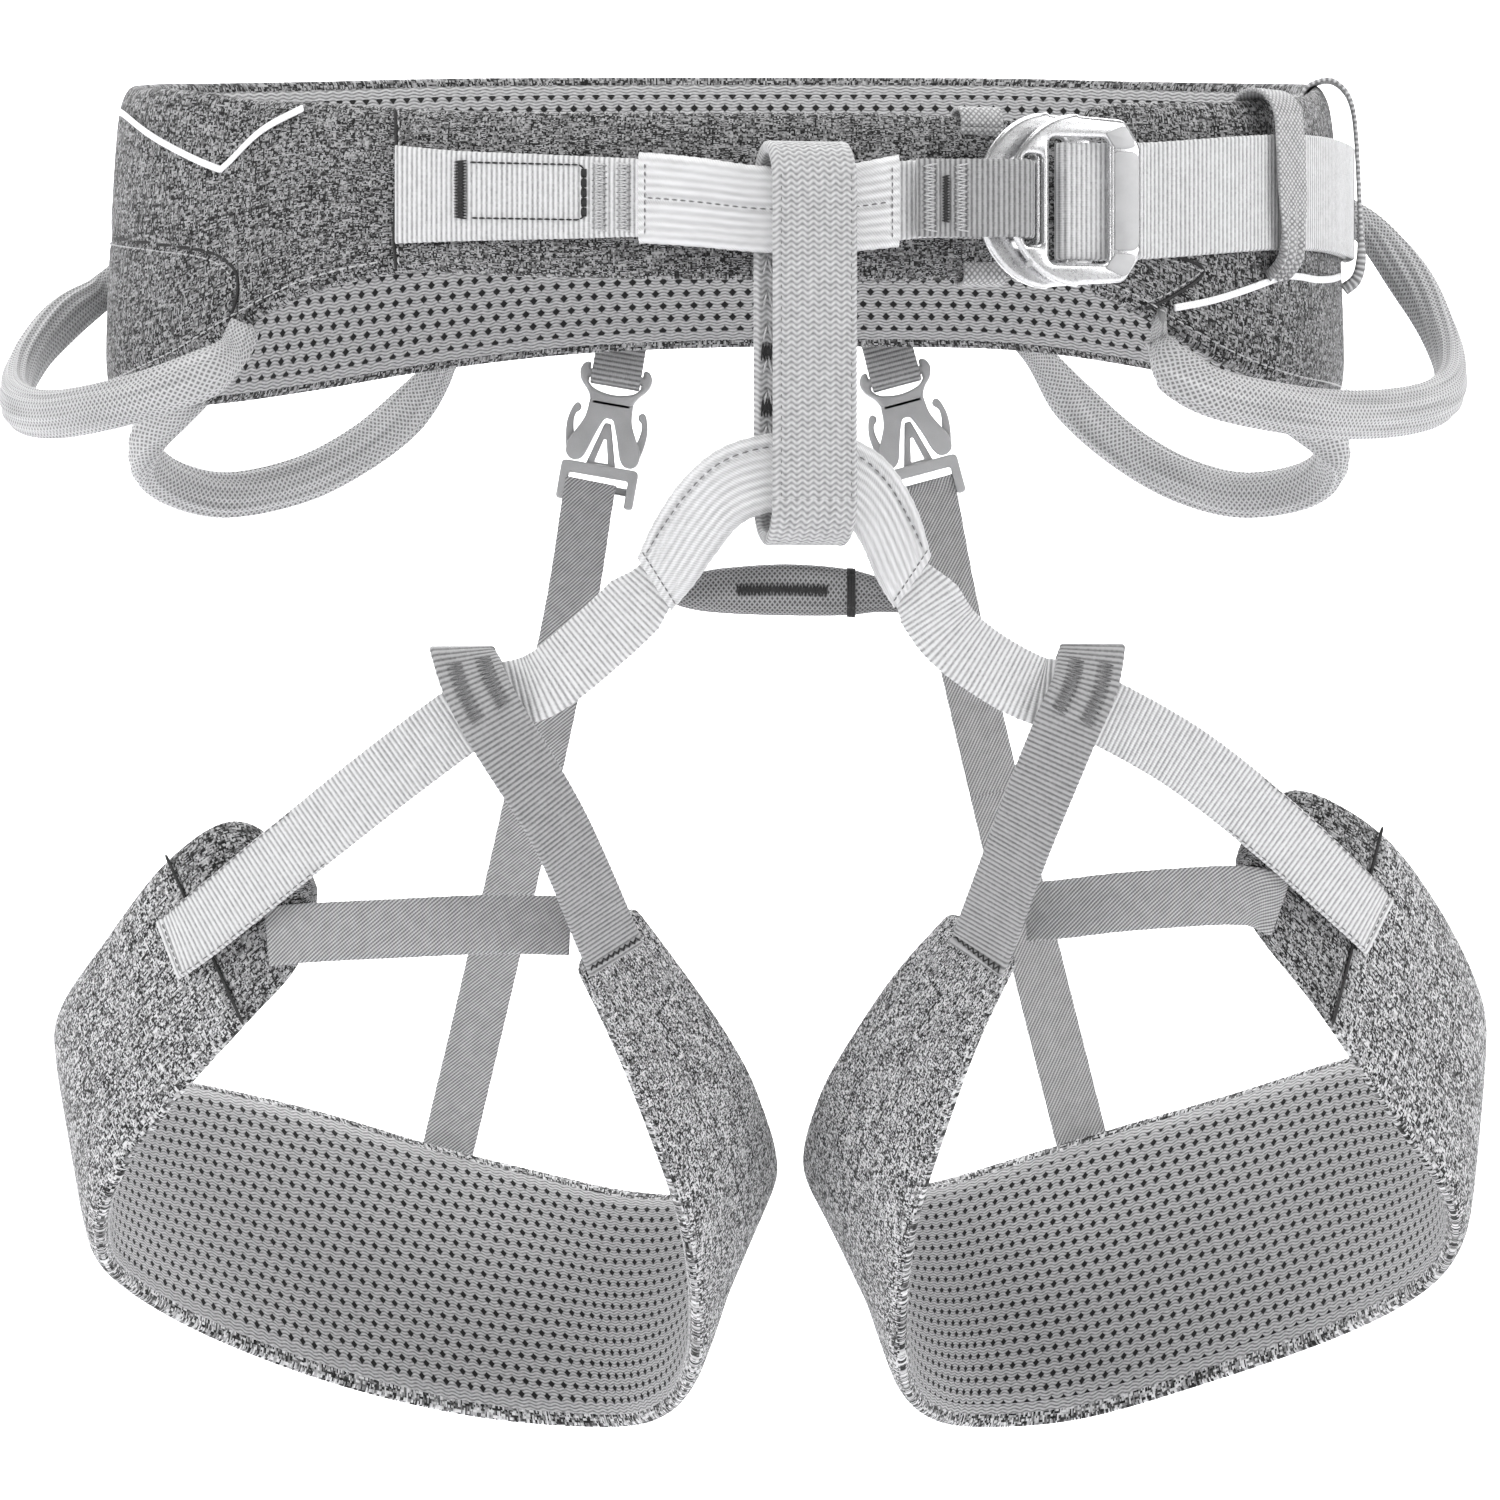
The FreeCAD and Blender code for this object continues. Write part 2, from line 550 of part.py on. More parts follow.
def rounded_rectangle(sketch, left, foot, width, height, corner):
    """A fully constrained rectangle with round corners. Sizes are as amount takes them."""
    first = sketch.GeometryCount
    x, y, w, h, r = (amount(value) for value in (left, foot, width, height, corner))
    right, top = x + w - r, y + h - r
    corners = [(right, y + r, 270), (right, top, 0), (x + r, top, 90), (x + r, y + r, 180)]
    runs = [
        ((x + r, y), (x + w - r, y)), ((x + w, y + r), (x + w, y + h - r)),
        ((x + w - r, y + h), (x + r, y + h)), ((x, y + h - r), (x, y + r)),
    ]
    for (start, end), (cx, cy, turn) in zip(runs, corners):
        sketch.addGeometry(Part.LineSegment(Vector(*start, 0), Vector(*end, 0)), False)
        circle = Part.Circle(Vector(cx, cy, 0), Vector(0, 0, 1), r)
        sketch.addGeometry(Part.ArcOfCircle(circle, math.radians(turn), math.radians(turn + 90)), False)
    for k in range(8):
        sketch.addConstraint(Sketcher.Constraint("Tangent", first + k, 2, first + (k + 1) % 8, 1))
    for k, rule in enumerate(("Horizontal", "Vertical", "Horizontal", "Vertical")):
        sketch.addConstraint(Sketcher.Constraint(rule, first + 2 * k))
    hold(sketch, Sketcher.Constraint("Radius", first + 1, r), corner)
    for k in (3, 5, 7):
        sketch.addConstraint(Sketcher.Constraint("Equal", first + 1, first + k))
    hold(sketch, Sketcher.Constraint("DistanceX", first + 6, 1, first + 2, 1, w), width)
    hold(sketch, Sketcher.Constraint("DistanceY", first, 1, first + 4, 1, h), height)
    hold(sketch, Sketcher.Constraint("DistanceX", -1, 1, first + 6, 1, x), left)
    hold(sketch, Sketcher.Constraint("DistanceY", -1, 1, first, 1, y), foot)


def outline(sketch, corners):
    """A closed outline of straight runs, each corner held at its own place."""
    first = sketch.GeometryCount
    for start, end in zip(corners, corners[1:] + corners[:1]):
        sketch.addGeometry(Part.LineSegment(Vector(*start, 0), Vector(*end, 0)), False)
    count = len(corners)
    for k, (x, y) in enumerate(corners):
        sketch.addConstraint(Sketcher.Constraint("Coincident", first + k, 2, first + (k + 1) % count, 1))
        sketch.addConstraint(Sketcher.Constraint("DistanceX", -1, 1, first + k, 1, x))
        sketch.addConstraint(Sketcher.Constraint("DistanceY", -1, 1, first + k, 1, y))


def mirrored(half):
    """A closed outline from its half on the +X side. A point on the axis isn't repeated."""
    return half + [(-x, z) for x, z in reversed(half) if x != 0]


def pad(body, sketch, alias, symmetric=True):
    """Pads a sketch by a cell of the sheet."""
    feature = body.newObject("PartDesign::Pad", f"{body.Label}_pad")
    feature.Profile = sketch
    feature.setExpression("Length", f"Dims.{alias}")
    feature.Midplane = symmetric
    return feature


def cut_through(body, sketch):
    """Cuts a sketch through everything, both ways."""
    feature = body.newObject("PartDesign::Pocket", f"{body.Label}_pocket")
    feature.Profile = sketch
    feature.Type = 1
    feature.Midplane = True
    return feature


def round_faces(body, base, alias):
    """Rounds the edges of the body's two flat faces, which face along Y."""
    doc.recompute()
    flat = [f"Edge{n}" for n, edge in enumerate(base.Shape.Edges, start=1) if edge.BoundBox.YLength < 0.01]
    feature = body.newObject("PartDesign::Fillet", f"{body.Label}_edges")
    feature.Base = (base, flat)
    feature.setExpression("Radius", f"Dims.{alias}")


def buckle_plate(name, left, window, face):
    """One aluminium plate of the waist buckle, with its strap slot and its webbing window."""
    body = new_body(f"buckle_{name}")
    profile = sketch_on(body, "XZ_Plane")
    width, height, corner = ((f"{name}_{part}", 1, 0) for part in ("width", "height", "corner"))
    rounded_rectangle(profile, left, (f"{name}_height", -0.5, 0), width, height, corner)
    pad(body, profile, "plate_thickness")
    slots = sketch_on(body, "XZ_Plane")
    for alias, start, across in (
        ("strap_slot_height", STRAP_SLOT_LEFT, ("strap_slot_width", 1, 0)),
        ("web_slot_height", window[0], window[1] - window[0]),
    ):
        rounded_rectangle(slots, start, (alias, -0.5, 0), across, (alias, 1, 0), ("slot_corner", 1, 0))
    round_faces(body, cut_through(body, slots), "plate_edge")
    middle = face - size("plate_thickness") / 2
    body.Placement = Placement(in_buckle(0, middle), Rotation(Vector(0, 0, 1), BUCKLE_TURN))


def make_waist_buckle():
    """The two plates, apart by the room that the adjusting webbing takes."""
    buckle_plate("rear_plate", REAR_PLATE_LEFT, REAR_WINDOW, REAR_PLATE_FACE)
    front_face = REAR_PLATE_FACE + size("plate_gap") + size("plate_thickness")
    buckle_plate("front_plate", FRONT_PLATE_LEFT, FRONT_WINDOW, front_face)


def make_belay_loop():
    """The closed loop of heavy webbing between the waist sleeve and the bridge."""
    body = new_body("belay_loop")
    profile = sketch_on(body, "YZ_Plane")
    depth, height = ("belay_depth", 1, 0), ("belay_height", 1, 0)
    rounded_rectangle(
        profile, ("belay_depth", -0.5, 0), ("belay_height", -0.5, 0), depth, height,
        ("belay_depth", 0.5, -0.4)
    )
    inside = size("belay_depth") - 2 * size("belay_thickness")
    tall = size("belay_height") - 2 * size("belay_thickness")
    rounded_rectangle(profile, -inside / 2, -tall / 2, inside, tall, inside / 2 - 0.4)
    pad(body, profile, "belay_width")
    body.Placement = Placement(BELAY_CENTRE, Rotation(Vector(0, 0, 1), BELAY_TURN))


def make_buckle_shell(side, place):
    """The upper half of a side-release buckle: a yoke with the tab's bar, over two Y-shaped cheeks."""
    yoke = new_body(f"{side}_buckle_yoke")
    profile = sketch_on(yoke, "XZ_Plane")
    outline(profile, mirrored(YOKE_HALF))
    pad(yoke, profile, "shell_thickness")
    windows = sketch_on(yoke, "XZ_Plane")
    outline(windows, CRESCENT)
    rise, bar_top = 1, CRADLE_BAR[0]
    outline(windows, mirrored([(CRADLE_HALF, rise), (CRADLE_HALF, bar_top)]))
    cut_through(yoke, windows)
    yoke.Placement = place
    for name, sign in (("front", -1), ("rear", 1)):
        cheek = new_body(f"{side}_buckle_{name}_cheek")
        profile = sketch_on(cheek, "XZ_Plane")
        outline(profile, mirrored(CHEEK_HALF))
        pad(cheek, profile, "cheek_thickness")
        aside = sign * (size("shell_thickness") - size("cheek_thickness")) / 2
        cheek.Placement = place.multiply(Placement(Vector(0, aside, 0), Rotation()))


def make_buckle_frame(side, place):
    """The lower half: a bar with two posts, the strap's lock bar and the centre guide."""
    body = new_body(f"{side}_buckle_frame")
    profile = sketch_on(body, "XZ_Plane")
    edge, inside = FRAME_HALF_WIDTH, FRAME_HALF_WIDTH - FRAME_POST
    low, high = FRAME_BAR
    half = [(edge, high), (edge, FRAME_FOOT), (inside, FRAME_FOOT), (inside, low)]
    outline(profile, mirrored(half))
    pad(body, profile, "shell_thickness")
    lock = sketch_on(body, "YZ_Plane")
    outline(lock, LOCK_BAR)
    across = body.newObject("PartDesign::Pad", f"{side}_lock_bar")
    across.Profile = lock
    across.Length = 2 * inside + 0.2
    across.Midplane = True
    guide = sketch_on(body, "XZ_Plane")
    outline(guide, mirrored(GUIDE_HALF))
    pad(body, guide, "latch_thickness")
    hole = sketch_on(body, "XZ_Plane")
    outline(hole, GUIDE_HOLE)
    cut_through(body, hole)
    body.Placement = place


def make_rear_buckle(side):
    """Shell, frame and two latch arms, all in one frame, and the webbing tab that holds them."""
    centre, lean = REAR_BUCKLES[side]
    place = Placement(centre, Rotation(Vector(0, 1, 0), lean))
    make_buckle_shell(side, place)
    make_buckle_frame(side, place)
    for hand, sign in (("a", -1), ("b", 1)):
        arm = new_body(f"{side}_latch_{hand}")
        profile = sketch_on(arm, "XZ_Plane")
        outline(profile, [(sign * x, z) for x, z in LATCH])
        pad(arm, profile, "latch_thickness")
        arm.Placement = place
    path = TAB_BEHIND + TAB_FOLD + TAB_FRONT
    bar = (CRADLE_BAR[0] + CRADLE_BAR[1]) / 2
    points = [tuple(place.multVec(Vector(0, y, z))) for y, z in path]
    looks = [(0, 1, 0)] * TAB_UPRIGHT + [(0, y, min(z - bar, 0)) for y, z in path[TAB_UPRIGHT:]]
    faces = [tuple(place.Rotation.multVec(Vector(*look))) for look in looks]
    add_soft(f"{side}_rear_tab", strap(points, faces, size("tab_width"), size("tab_thickness")))


# The leg loops --------------------------------------------------------------------------------

def make_bridge():
    """The webbing arch under its sleeve, and the elastic tube that links its two feet."""
    outer = smooth([(x, y, z) for (x, z), y in zip(BRIDGE_OUTER, BRIDGE_DEPTH)], 3)
    inner = smooth([(x, y, z) for (x, z), y in zip(BRIDGE_INNER, BRIDGE_DEPTH)], 3)
    behind = Vector(*BRIDGE_MIDDLE)
    half = size("webbing_thickness") / 2
    add_soft("bridge_webbing", band(outer, inner, -half, half, behind))
    add_soft("bridge_sleeve", sleeve(outer, inner, behind))
    add_soft("link_tube", tube(LINK_TUBE, LINK_HALF_SIZES))


def make_leg(side):
    """One leg loop: its pad, its webbings, its front elastic and its rear strap."""
    leg = LEGS[side]
    add_layers(f"{side}_leg", smooth(leg["upper"], 3), smooth(leg["lower"], 3), Vector(*leg["middle"]))
    thick, thin = size("webbing_thickness"), size("elastic_thickness")
    webbing = strap(leg["webbing"], leg["webbing_faces"], size("leg_webbing_width"), thick)
    add_soft(f"{side}_leg_webbing", webbing)
    add_soft(f"{side}_inner_webbing", strap(leg["inner"], INNER_FACES, size("inner_webbing_width"), thick))
    forward = [(0, -1, 0)] * len(leg["elastic"])
    add_soft(f"{side}_thigh_elastic", strap(leg["elastic"], forward, size("elastic_width"), thin))
    back = [(0, 1, 0)] * len(leg["drop"])
    add_soft(f"{side}_drop_strap", strap(leg["drop"], back, size("drop_strap_width"), thin))


def make_gear_loop(name, points):
    """A braided sheath over a stiff core."""
    sizes = [GEAR_END_SIZE] + [GEAR_HALF_SIZE] * (len(points) - 2) + [GEAR_END_SIZE]
    core_sizes = [(height * size("gear_core"), depth * size("gear_core")) for height, depth in sizes]
    whole, core = tube(points, sizes), tube(points, core_sizes)
    add_soft(f"{name}_gear_sheath", whole.cut(core))
    add_soft(f"{name}_gear_core", core)


def check_and_write():
    """Stops on any failed object, then writes each piece to its own file."""
    doc.recompute()
    for item in doc.Objects:
        if "Invalid" in item.State or "Error" in item.State:
            raise RuntimeError(f"{item.Label} failed: {item.State}")
    os.makedirs("parts", exist_ok=True)
    for piece in pieces:
        shape = piece.Shape
        if shape.isNull() or not shape.isValid() or not shape.Solids:
            raise RuntimeError(f"{piece.Label} has no valid solid")
        shape.exportStep(f"parts/{piece.Label}.step")
        print(f"{piece.Label}: {shape.Volume:.0f} mm3, {len(shape.Solids)} solid")


make_belt()
make_keepers()
make_waist_webbing()
make_buckle_strap()
make_adjust_webbing()
make_waist_buckle()
make_belay_loop()
make_bridge()
for side in LEGS:
    make_leg(side)
    make_rear_buckle(side)
for name, points in GEAR_LOOPS.items():
    make_gear_loop(name, points)
check_and_write()
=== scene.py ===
"""Climbing harness: the looks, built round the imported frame.

Shapes are worked out in millimetres and become meshes in metres. +X is the wearer's left, -Y the
front and +Z up. A ribbon is a strap's middle line with its direction across, its direction outward
and its half width at every step. A pad is a padded band between two edge curves.
"""
import json
import math

import bmesh
import bpy
import numpy as np

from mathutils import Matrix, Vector


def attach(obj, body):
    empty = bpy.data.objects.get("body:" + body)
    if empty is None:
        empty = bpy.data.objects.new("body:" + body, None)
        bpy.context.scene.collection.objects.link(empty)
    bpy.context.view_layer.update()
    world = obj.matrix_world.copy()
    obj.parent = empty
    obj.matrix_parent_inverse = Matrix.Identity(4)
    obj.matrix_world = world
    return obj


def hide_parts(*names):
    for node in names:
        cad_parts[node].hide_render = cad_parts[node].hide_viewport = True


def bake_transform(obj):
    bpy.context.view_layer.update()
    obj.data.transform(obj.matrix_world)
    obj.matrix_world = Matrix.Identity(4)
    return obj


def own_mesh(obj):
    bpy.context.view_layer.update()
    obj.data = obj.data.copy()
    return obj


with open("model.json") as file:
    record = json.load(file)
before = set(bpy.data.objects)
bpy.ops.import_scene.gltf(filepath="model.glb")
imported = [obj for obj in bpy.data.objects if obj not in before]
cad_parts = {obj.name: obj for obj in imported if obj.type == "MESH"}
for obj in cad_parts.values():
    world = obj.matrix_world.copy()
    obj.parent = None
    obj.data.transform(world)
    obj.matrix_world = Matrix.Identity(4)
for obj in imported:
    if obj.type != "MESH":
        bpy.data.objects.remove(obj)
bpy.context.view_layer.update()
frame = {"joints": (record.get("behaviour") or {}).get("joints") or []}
MM = 0.001
UP = np.array((0.0, 0.0, 1.0))
SIDES = ("left", "right")
CLOTH_FRAMES = 20

# The camera's place in metres, in front of the harness and level. Lens and sensor are in mm.
CAMERA_PLACE = (0.00665, -2.5, -0.136)
CAMERA_LENS, CAMERA_SENSOR = 225, 36


# Lines and ribbons ------------------------------------------------------------------------------

def points_of(values):
    """A list of points as an array."""
    return np.array(values, float)


def unit(vectors):
    """Each row at length 1."""
    return vectors / np.maximum(np.linalg.norm(vectors, axis=-1, keepdims=True), 1e-9)


def smooth(points, per_span=12):
    """A Catmull-Rom curve through the rows, with per_span steps between each two of them."""
    known = points_of(points)
    full = np.vstack([2 * known[0] - known[1], known, 2 * known[-1] - known[-2]])
    curve = []
    for a, b, c, d in zip(full, full[1:], full[2:], full[3:]):
        for step in range(per_span):
            t = step / per_span
            square = 2 * a - 5 * b + 4 * c - d
            cube = 3 * b - a - 3 * c + d
            curve.append(0.5 * (2 * b + (c - a) * t + square * t**2 + cube * t**3))
    return np.array(curve + [known[-1]])


def smooth_ring(points, per_span=6):
    """A closed Catmull-Rom curve through the rows."""
    known = points_of(points)
    count = len(known)
    around = np.vstack([known[-1:], known, known[:2]])
    curve = smooth(around, per_span)
    return curve[per_span:per_span * (count + 1)]


def lengths(curve):
    """The distance along the curve to each of its points."""
    return np.concatenate([[0], np.cumsum(np.linalg.norm(np.diff(curve, axis=0), axis=1))])


def spread(curve, along, step, *others):
    """The curve and what goes with it, read again at even steps of about that length."""
    count = max(2, int(round(along[-1] / step)))
    at = np.linspace(0, along[-1], count + 1)

    def read(values):
        return np.stack([np.interp(at, along, column) for column in values.T], axis=1)
    return [read(curve)] + [read(other) for other in others]


def directions(curve, closed=False):
    """The unit direction of the curve at each of its points."""
    if closed:
        return unit(np.roll(curve, -1, 0) - np.roll(curve, 1, 0))
    return unit(np.gradient(curve, axis=0))


class Ribbon:
    """A strap's middle line, with its directions across and outward and its half width."""

    def __init__(self, centre, across, out, half, closed=False):
        self.centre = centre
        self.across = across
        self.out = out
        self.half = half
        self.closed = closed
        self.along = lengths(centre)

    def length(self):
        """The strap's length in mm."""
        return self.along[-1]

    def part(self, start, end):
        """The stretch of the ribbon between two distances along it."""
        keep = (self.along >= start) & (self.along <= end)
        return Ribbon(self.centre[keep], self.across[keep], self.out[keep], self.half[keep])

    def at(self, along, across, proud):
        """Points at distances along, across and proud of the middle line."""
        along = np.clip(np.asarray(along, float), 0, self.along[-1])

        def read(values):
            return np.stack([np.interp(along, self.along, column) for column in values.T], axis=-1)
        across = np.asarray(across, float)[..., None]
        proud = np.asarray(proud, float)[..., None]
        return read(self.centre) + read(self.across) * across + read(self.out) * proud


def strap_ribbon(points, faces, width, step):
    """A ribbon of one width through the points, whose outer side looks along faces."""
    rough, looks = smooth(points), smooth(faces)
    centre, looks = spread(rough, lengths(rough), step, looks)
    across = unit(np.cross(directions(centre), looks))
    out = unit(np.cross(across, directions(centre)))
    return Ribbon(centre, across, out, np.full(len(centre), width / 2))


def edge_ribbon(upper, lower, step, middle=(0, 0, 0)):
    """A ribbon between two edge curves, whose outer side looks away from the point middle."""
    rough = (upper + lower) / 2
    centre, upper, lower = spread(rough, lengths(rough), step, upper, lower)
    across = unit(upper - lower)
    out = unit(np.cross(directions(centre), across))
    half_way = len(centre) // 2
    if np.dot(out[half_way], centre[half_way] - points_of(middle)) < 0:
        out = -out
    return Ribbon(centre, across, out, np.linalg.norm(upper - lower, axis=1) / 2)


def upright_ribbon(line, width, step, closed=False):
    """A ribbon that stands on edge along a line, its width upright and its outer side to the front."""
    centre = spread(line, lengths(line), step)[0]
    along = directions(centre, closed)
    across = np.tile(UP, (len(centre), 1))
    out = unit(np.cross(along, across))
    return Ribbon(centre, across, out, np.full(len(centre), width / 2), closed)


# Meshes -----------------------------------------------------------------------------------------

def new_object(label, vertices, faces, uv=None, smooth_faces=True):
    """A mesh object in metres, from vertices and a UV layer in mm."""
    mesh = bpy.data.meshes.new(label)
    mesh.from_pydata([tuple(p) for p in np.asarray(vertices) * MM], [], faces)
    if uv is not None:
        layer = mesh.uv_layers.new(name="UVMap")
        layer.data.foreach_set("uv", (np.asarray(uv, float) * MM).ravel())
    mesh.polygons.foreach_set("use_smooth", [smooth_faces] * len(mesh.polygons))
    mesh.update()
    thing = bpy.data.objects.new(label, mesh)
    bpy.context.scene.collection.objects.link(thing)
    return thing


def ring_mesh(label, rings, along, around, closed=False):
    """A skin over rings of points.

    along has a value per ring, and around has one more than a ring has points.
    """
    rings = np.asarray(rings)
    count, size = rings.shape[:2]
    faces, uv = [], []
    for i in range(count if closed else count - 1):
        j = (i + 1) % count
        far = along[i] + (along[1] - along[0]) if closed and j == 0 else along[j]
        for k in range(size):
            m = (k + 1) % size
            faces.append((i * size + k, i * size + m, j * size + m, j * size + k))
            near, here, there = along[i], around[k], around[k + 1]
            uv += [(near, here), (near, there), (far, there), (far, here)]
    if not closed:
        faces.append(tuple(range(size))[::-1])
        uv += [(along[0], around[k]) for k in reversed(range(size))]
        faces.append(tuple((count - 1) * size + k for k in range(size)))
        uv += [(along[-1], around[k]) for k in range(size)]
    thing = new_object(label, rings.reshape(-1, 3), faces, uv)
    face_outward(thing)
    return thing


def face_outward(thing):
    """Turns a closed mesh inside out when its volume is negative."""
    mesh = thing.data
    mesh.calc_loop_triangles()
    points = np.zeros(len(mesh.vertices) * 3)
    mesh.vertices.foreach_get("co", points)
    points = points.reshape(-1, 3)
    corners = np.zeros(len(mesh.loop_triangles) * 3, int)
    mesh.loop_triangles.foreach_get("vertices", corners)
    a, b, c = (points[corners.reshape(-1, 3)[:, k]] for k in range(3))
    if (a * np.cross(b, c)).sum() < 0:
        mesh.flip_normals()


def strap_section(half, thickness, samples):
    """The across and proud places round a flat section with round edges, as shares and mm."""
    radius = thickness / 2
    reach = half - radius
    flat = np.linspace(-reach, reach, samples)
    turn = np.radians((-60, -20, 20, 60))
    right = [(reach + radius * math.cos(a), -radius * math.sin(a)) for a in turn]
    left = [(-reach - radius * math.cos(a), radius * math.sin(a)) for a in turn]
    top = [(a, radius) for a in flat]
    under = [(a, -radius) for a in flat[::-1]]
    return np.array(top + right + under + left)


def strap_mesh(label, ribbon, thickness, relief=None, samples=9, scallop=(2.2, 0.12)):
    """A closed strap along the ribbon. relief(along, across) adds height to both of its faces."""
    rings = []
    pitch, bite = scallop
    for k, along in enumerate(ribbon.along):
        half = ribbon.half[k] - bite * (0.5 - 0.5 * math.cos(2 * math.pi * along / pitch))
        section = strap_section(half, thickness, samples)
        across, proud = section[:, 0], section[:, 1].copy()
        if relief is not None:
            share = np.clip(np.abs(proud) / (thickness / 2), 0, 1)
            proud += np.sign(proud) * relief(along, across) * share
        aside, outward = np.outer(across, ribbon.across[k]), np.outer(proud, ribbon.out[k])
        rings.append(ribbon.centre[k] + aside + outward)
    around = list(strap_section(ribbon.half.mean(), thickness, samples)[:, 0])
    return ring_mesh(label, rings, ribbon.along, around + around[:1], ribbon.closed)


def cross_ribs(pitch, height):
    """Relief of ribs that run across a strap."""
    def relief(along, across):
        return height * (np.cos(2 * math.pi * along / pitch) - 1) / 2 + 0 * across
    return relief


def tube_mesh(label, line, half_sizes, ridges=0, ridge=0.0, sides=48, step=1.0, ends=1.0):
    """A tube of oval section with ridges along it. half_sizes are its half height and half depth."""
    rough, halves = smooth(line), smooth(half_sizes)
    centre, halves = spread(rough, lengths(rough), step, halves)
    along = directions(centre)
    high = unit(UP - along * (along @ UP)[:, None])
    side = np.cross(along, high)
    turn = np.linspace(0, 2 * math.pi, sides, endpoint=False)
    run = lengths(centre)
    rings = []
    for k in range(len(centre)):
        end = min(run[k], run[-1] - run[k])
        swell = 1 - (1 - ends) * math.exp(-((end / 3) ** 2))
        radius = swell * (1 + ridge * np.cos(ridges * turn + 0.7 * math.sin(run[k] / 23)))
        rings.append(
            centre[k] + np.outer(halves[k, 0] * radius * np.cos(turn), high[k])
            + np.outer(halves[k, 1] * radius * np.sin(turn), side[k])
        )
    girth = 2 * math.pi * halves.mean()
    return ring_mesh(label, rings, run, np.linspace(0, girth, sides + 1))


def thread_mesh(label, lines, radius=0.2, sides=5):
    """One mesh of many short round threads, each along its own line of points."""
    vertices, faces = [], []
    turn = np.linspace(0, 2 * math.pi, sides, endpoint=False)
    for line in lines:
        line = points_of(line)
        along = directions(line)
        aside = unit(np.cross(along, np.where(np.abs(along @ UP)[:, None] < 0.9, UP, (1.0, 0, 0))))
        lift = np.cross(along, aside)
        first = len(vertices)
        for k in range(len(line)):
            r = radius * (0.55 if k in (0, len(line) - 1) else 1)
            ring = np.outer(np.cos(turn), aside[k]) + np.outer(np.sin(turn), lift[k])
            vertices += list(line[k] + r * ring)
        for k in range(len(line) - 1):
            for m in range(sides):
                a, b = first + k * sides + m, first + k * sides + (m + 1) % sides
                faces.append((a, b, b + sides, a + sides))
        faces.append(tuple(first + m for m in reversed(range(sides))))
        faces.append(tuple(first + (len(line) - 1) * sides + m for m in range(sides)))
    return new_object(label, vertices, faces)


# Stitches, laid out in a ribbon's own (along, across) --------------------------------------------

def running(ribbon, corners, proud, pitch=2.4, share=0.72):
    """Dashes along a path of corners given as (along, across)."""
    path = points_of(corners)
    path = np.column_stack([path, np.zeros(len(path))])
    run = lengths(path)
    count = max(1, int(run[-1] / pitch))
    lines = []
    for k in range(count):
        at = (k + np.linspace(0, share, 4)) * run[-1] / count
        along, across = np.interp(at, run, path[:, 0]), np.interp(at, run, path[:, 1])
        dip = 0.12 * np.array((-1.5, 1, 1, -1.5)) * np.sign(proud)
        lines.append(ribbon.at(along, across, proud + dip))
    return lines


def tack_through(ribbon, along, across, proud):
    """One thread through turning points on a ribbon, with three steps between each two."""
    turns = len(along) - 1
    fine = np.linspace(0, turns, turns * 3 + 1)
    known = range(turns + 1)
    return [ribbon.at(np.interp(fine, known, along), np.interp(fine, known, across), proud)]


def zigzag(ribbon, start, end, low, high, proud, pitch=0.9):
    """A zigzag tack between two distances along, from low to high across."""
    turns = max(4, int(abs(high - low) / pitch))
    across = np.linspace(low, high, turns + 1)
    along = np.where(np.arange(turns + 1) % 2, start, end)
    return tack_through(ribbon, along, across, proud)


def ladder(ribbon, start, end, low, high, proud, pitch=0.9):
    """A zigzag tack that runs along the ribbon and swings between low and high across it."""
    turns = max(4, int(abs(end - start) / pitch))
    along = np.linspace(start, end, turns + 1)
    across = np.where(np.arange(turns + 1) % 2, low, high)
    return tack_through(ribbon, along, across, proud)


# Materials --------------------------------------------------------------------------------------

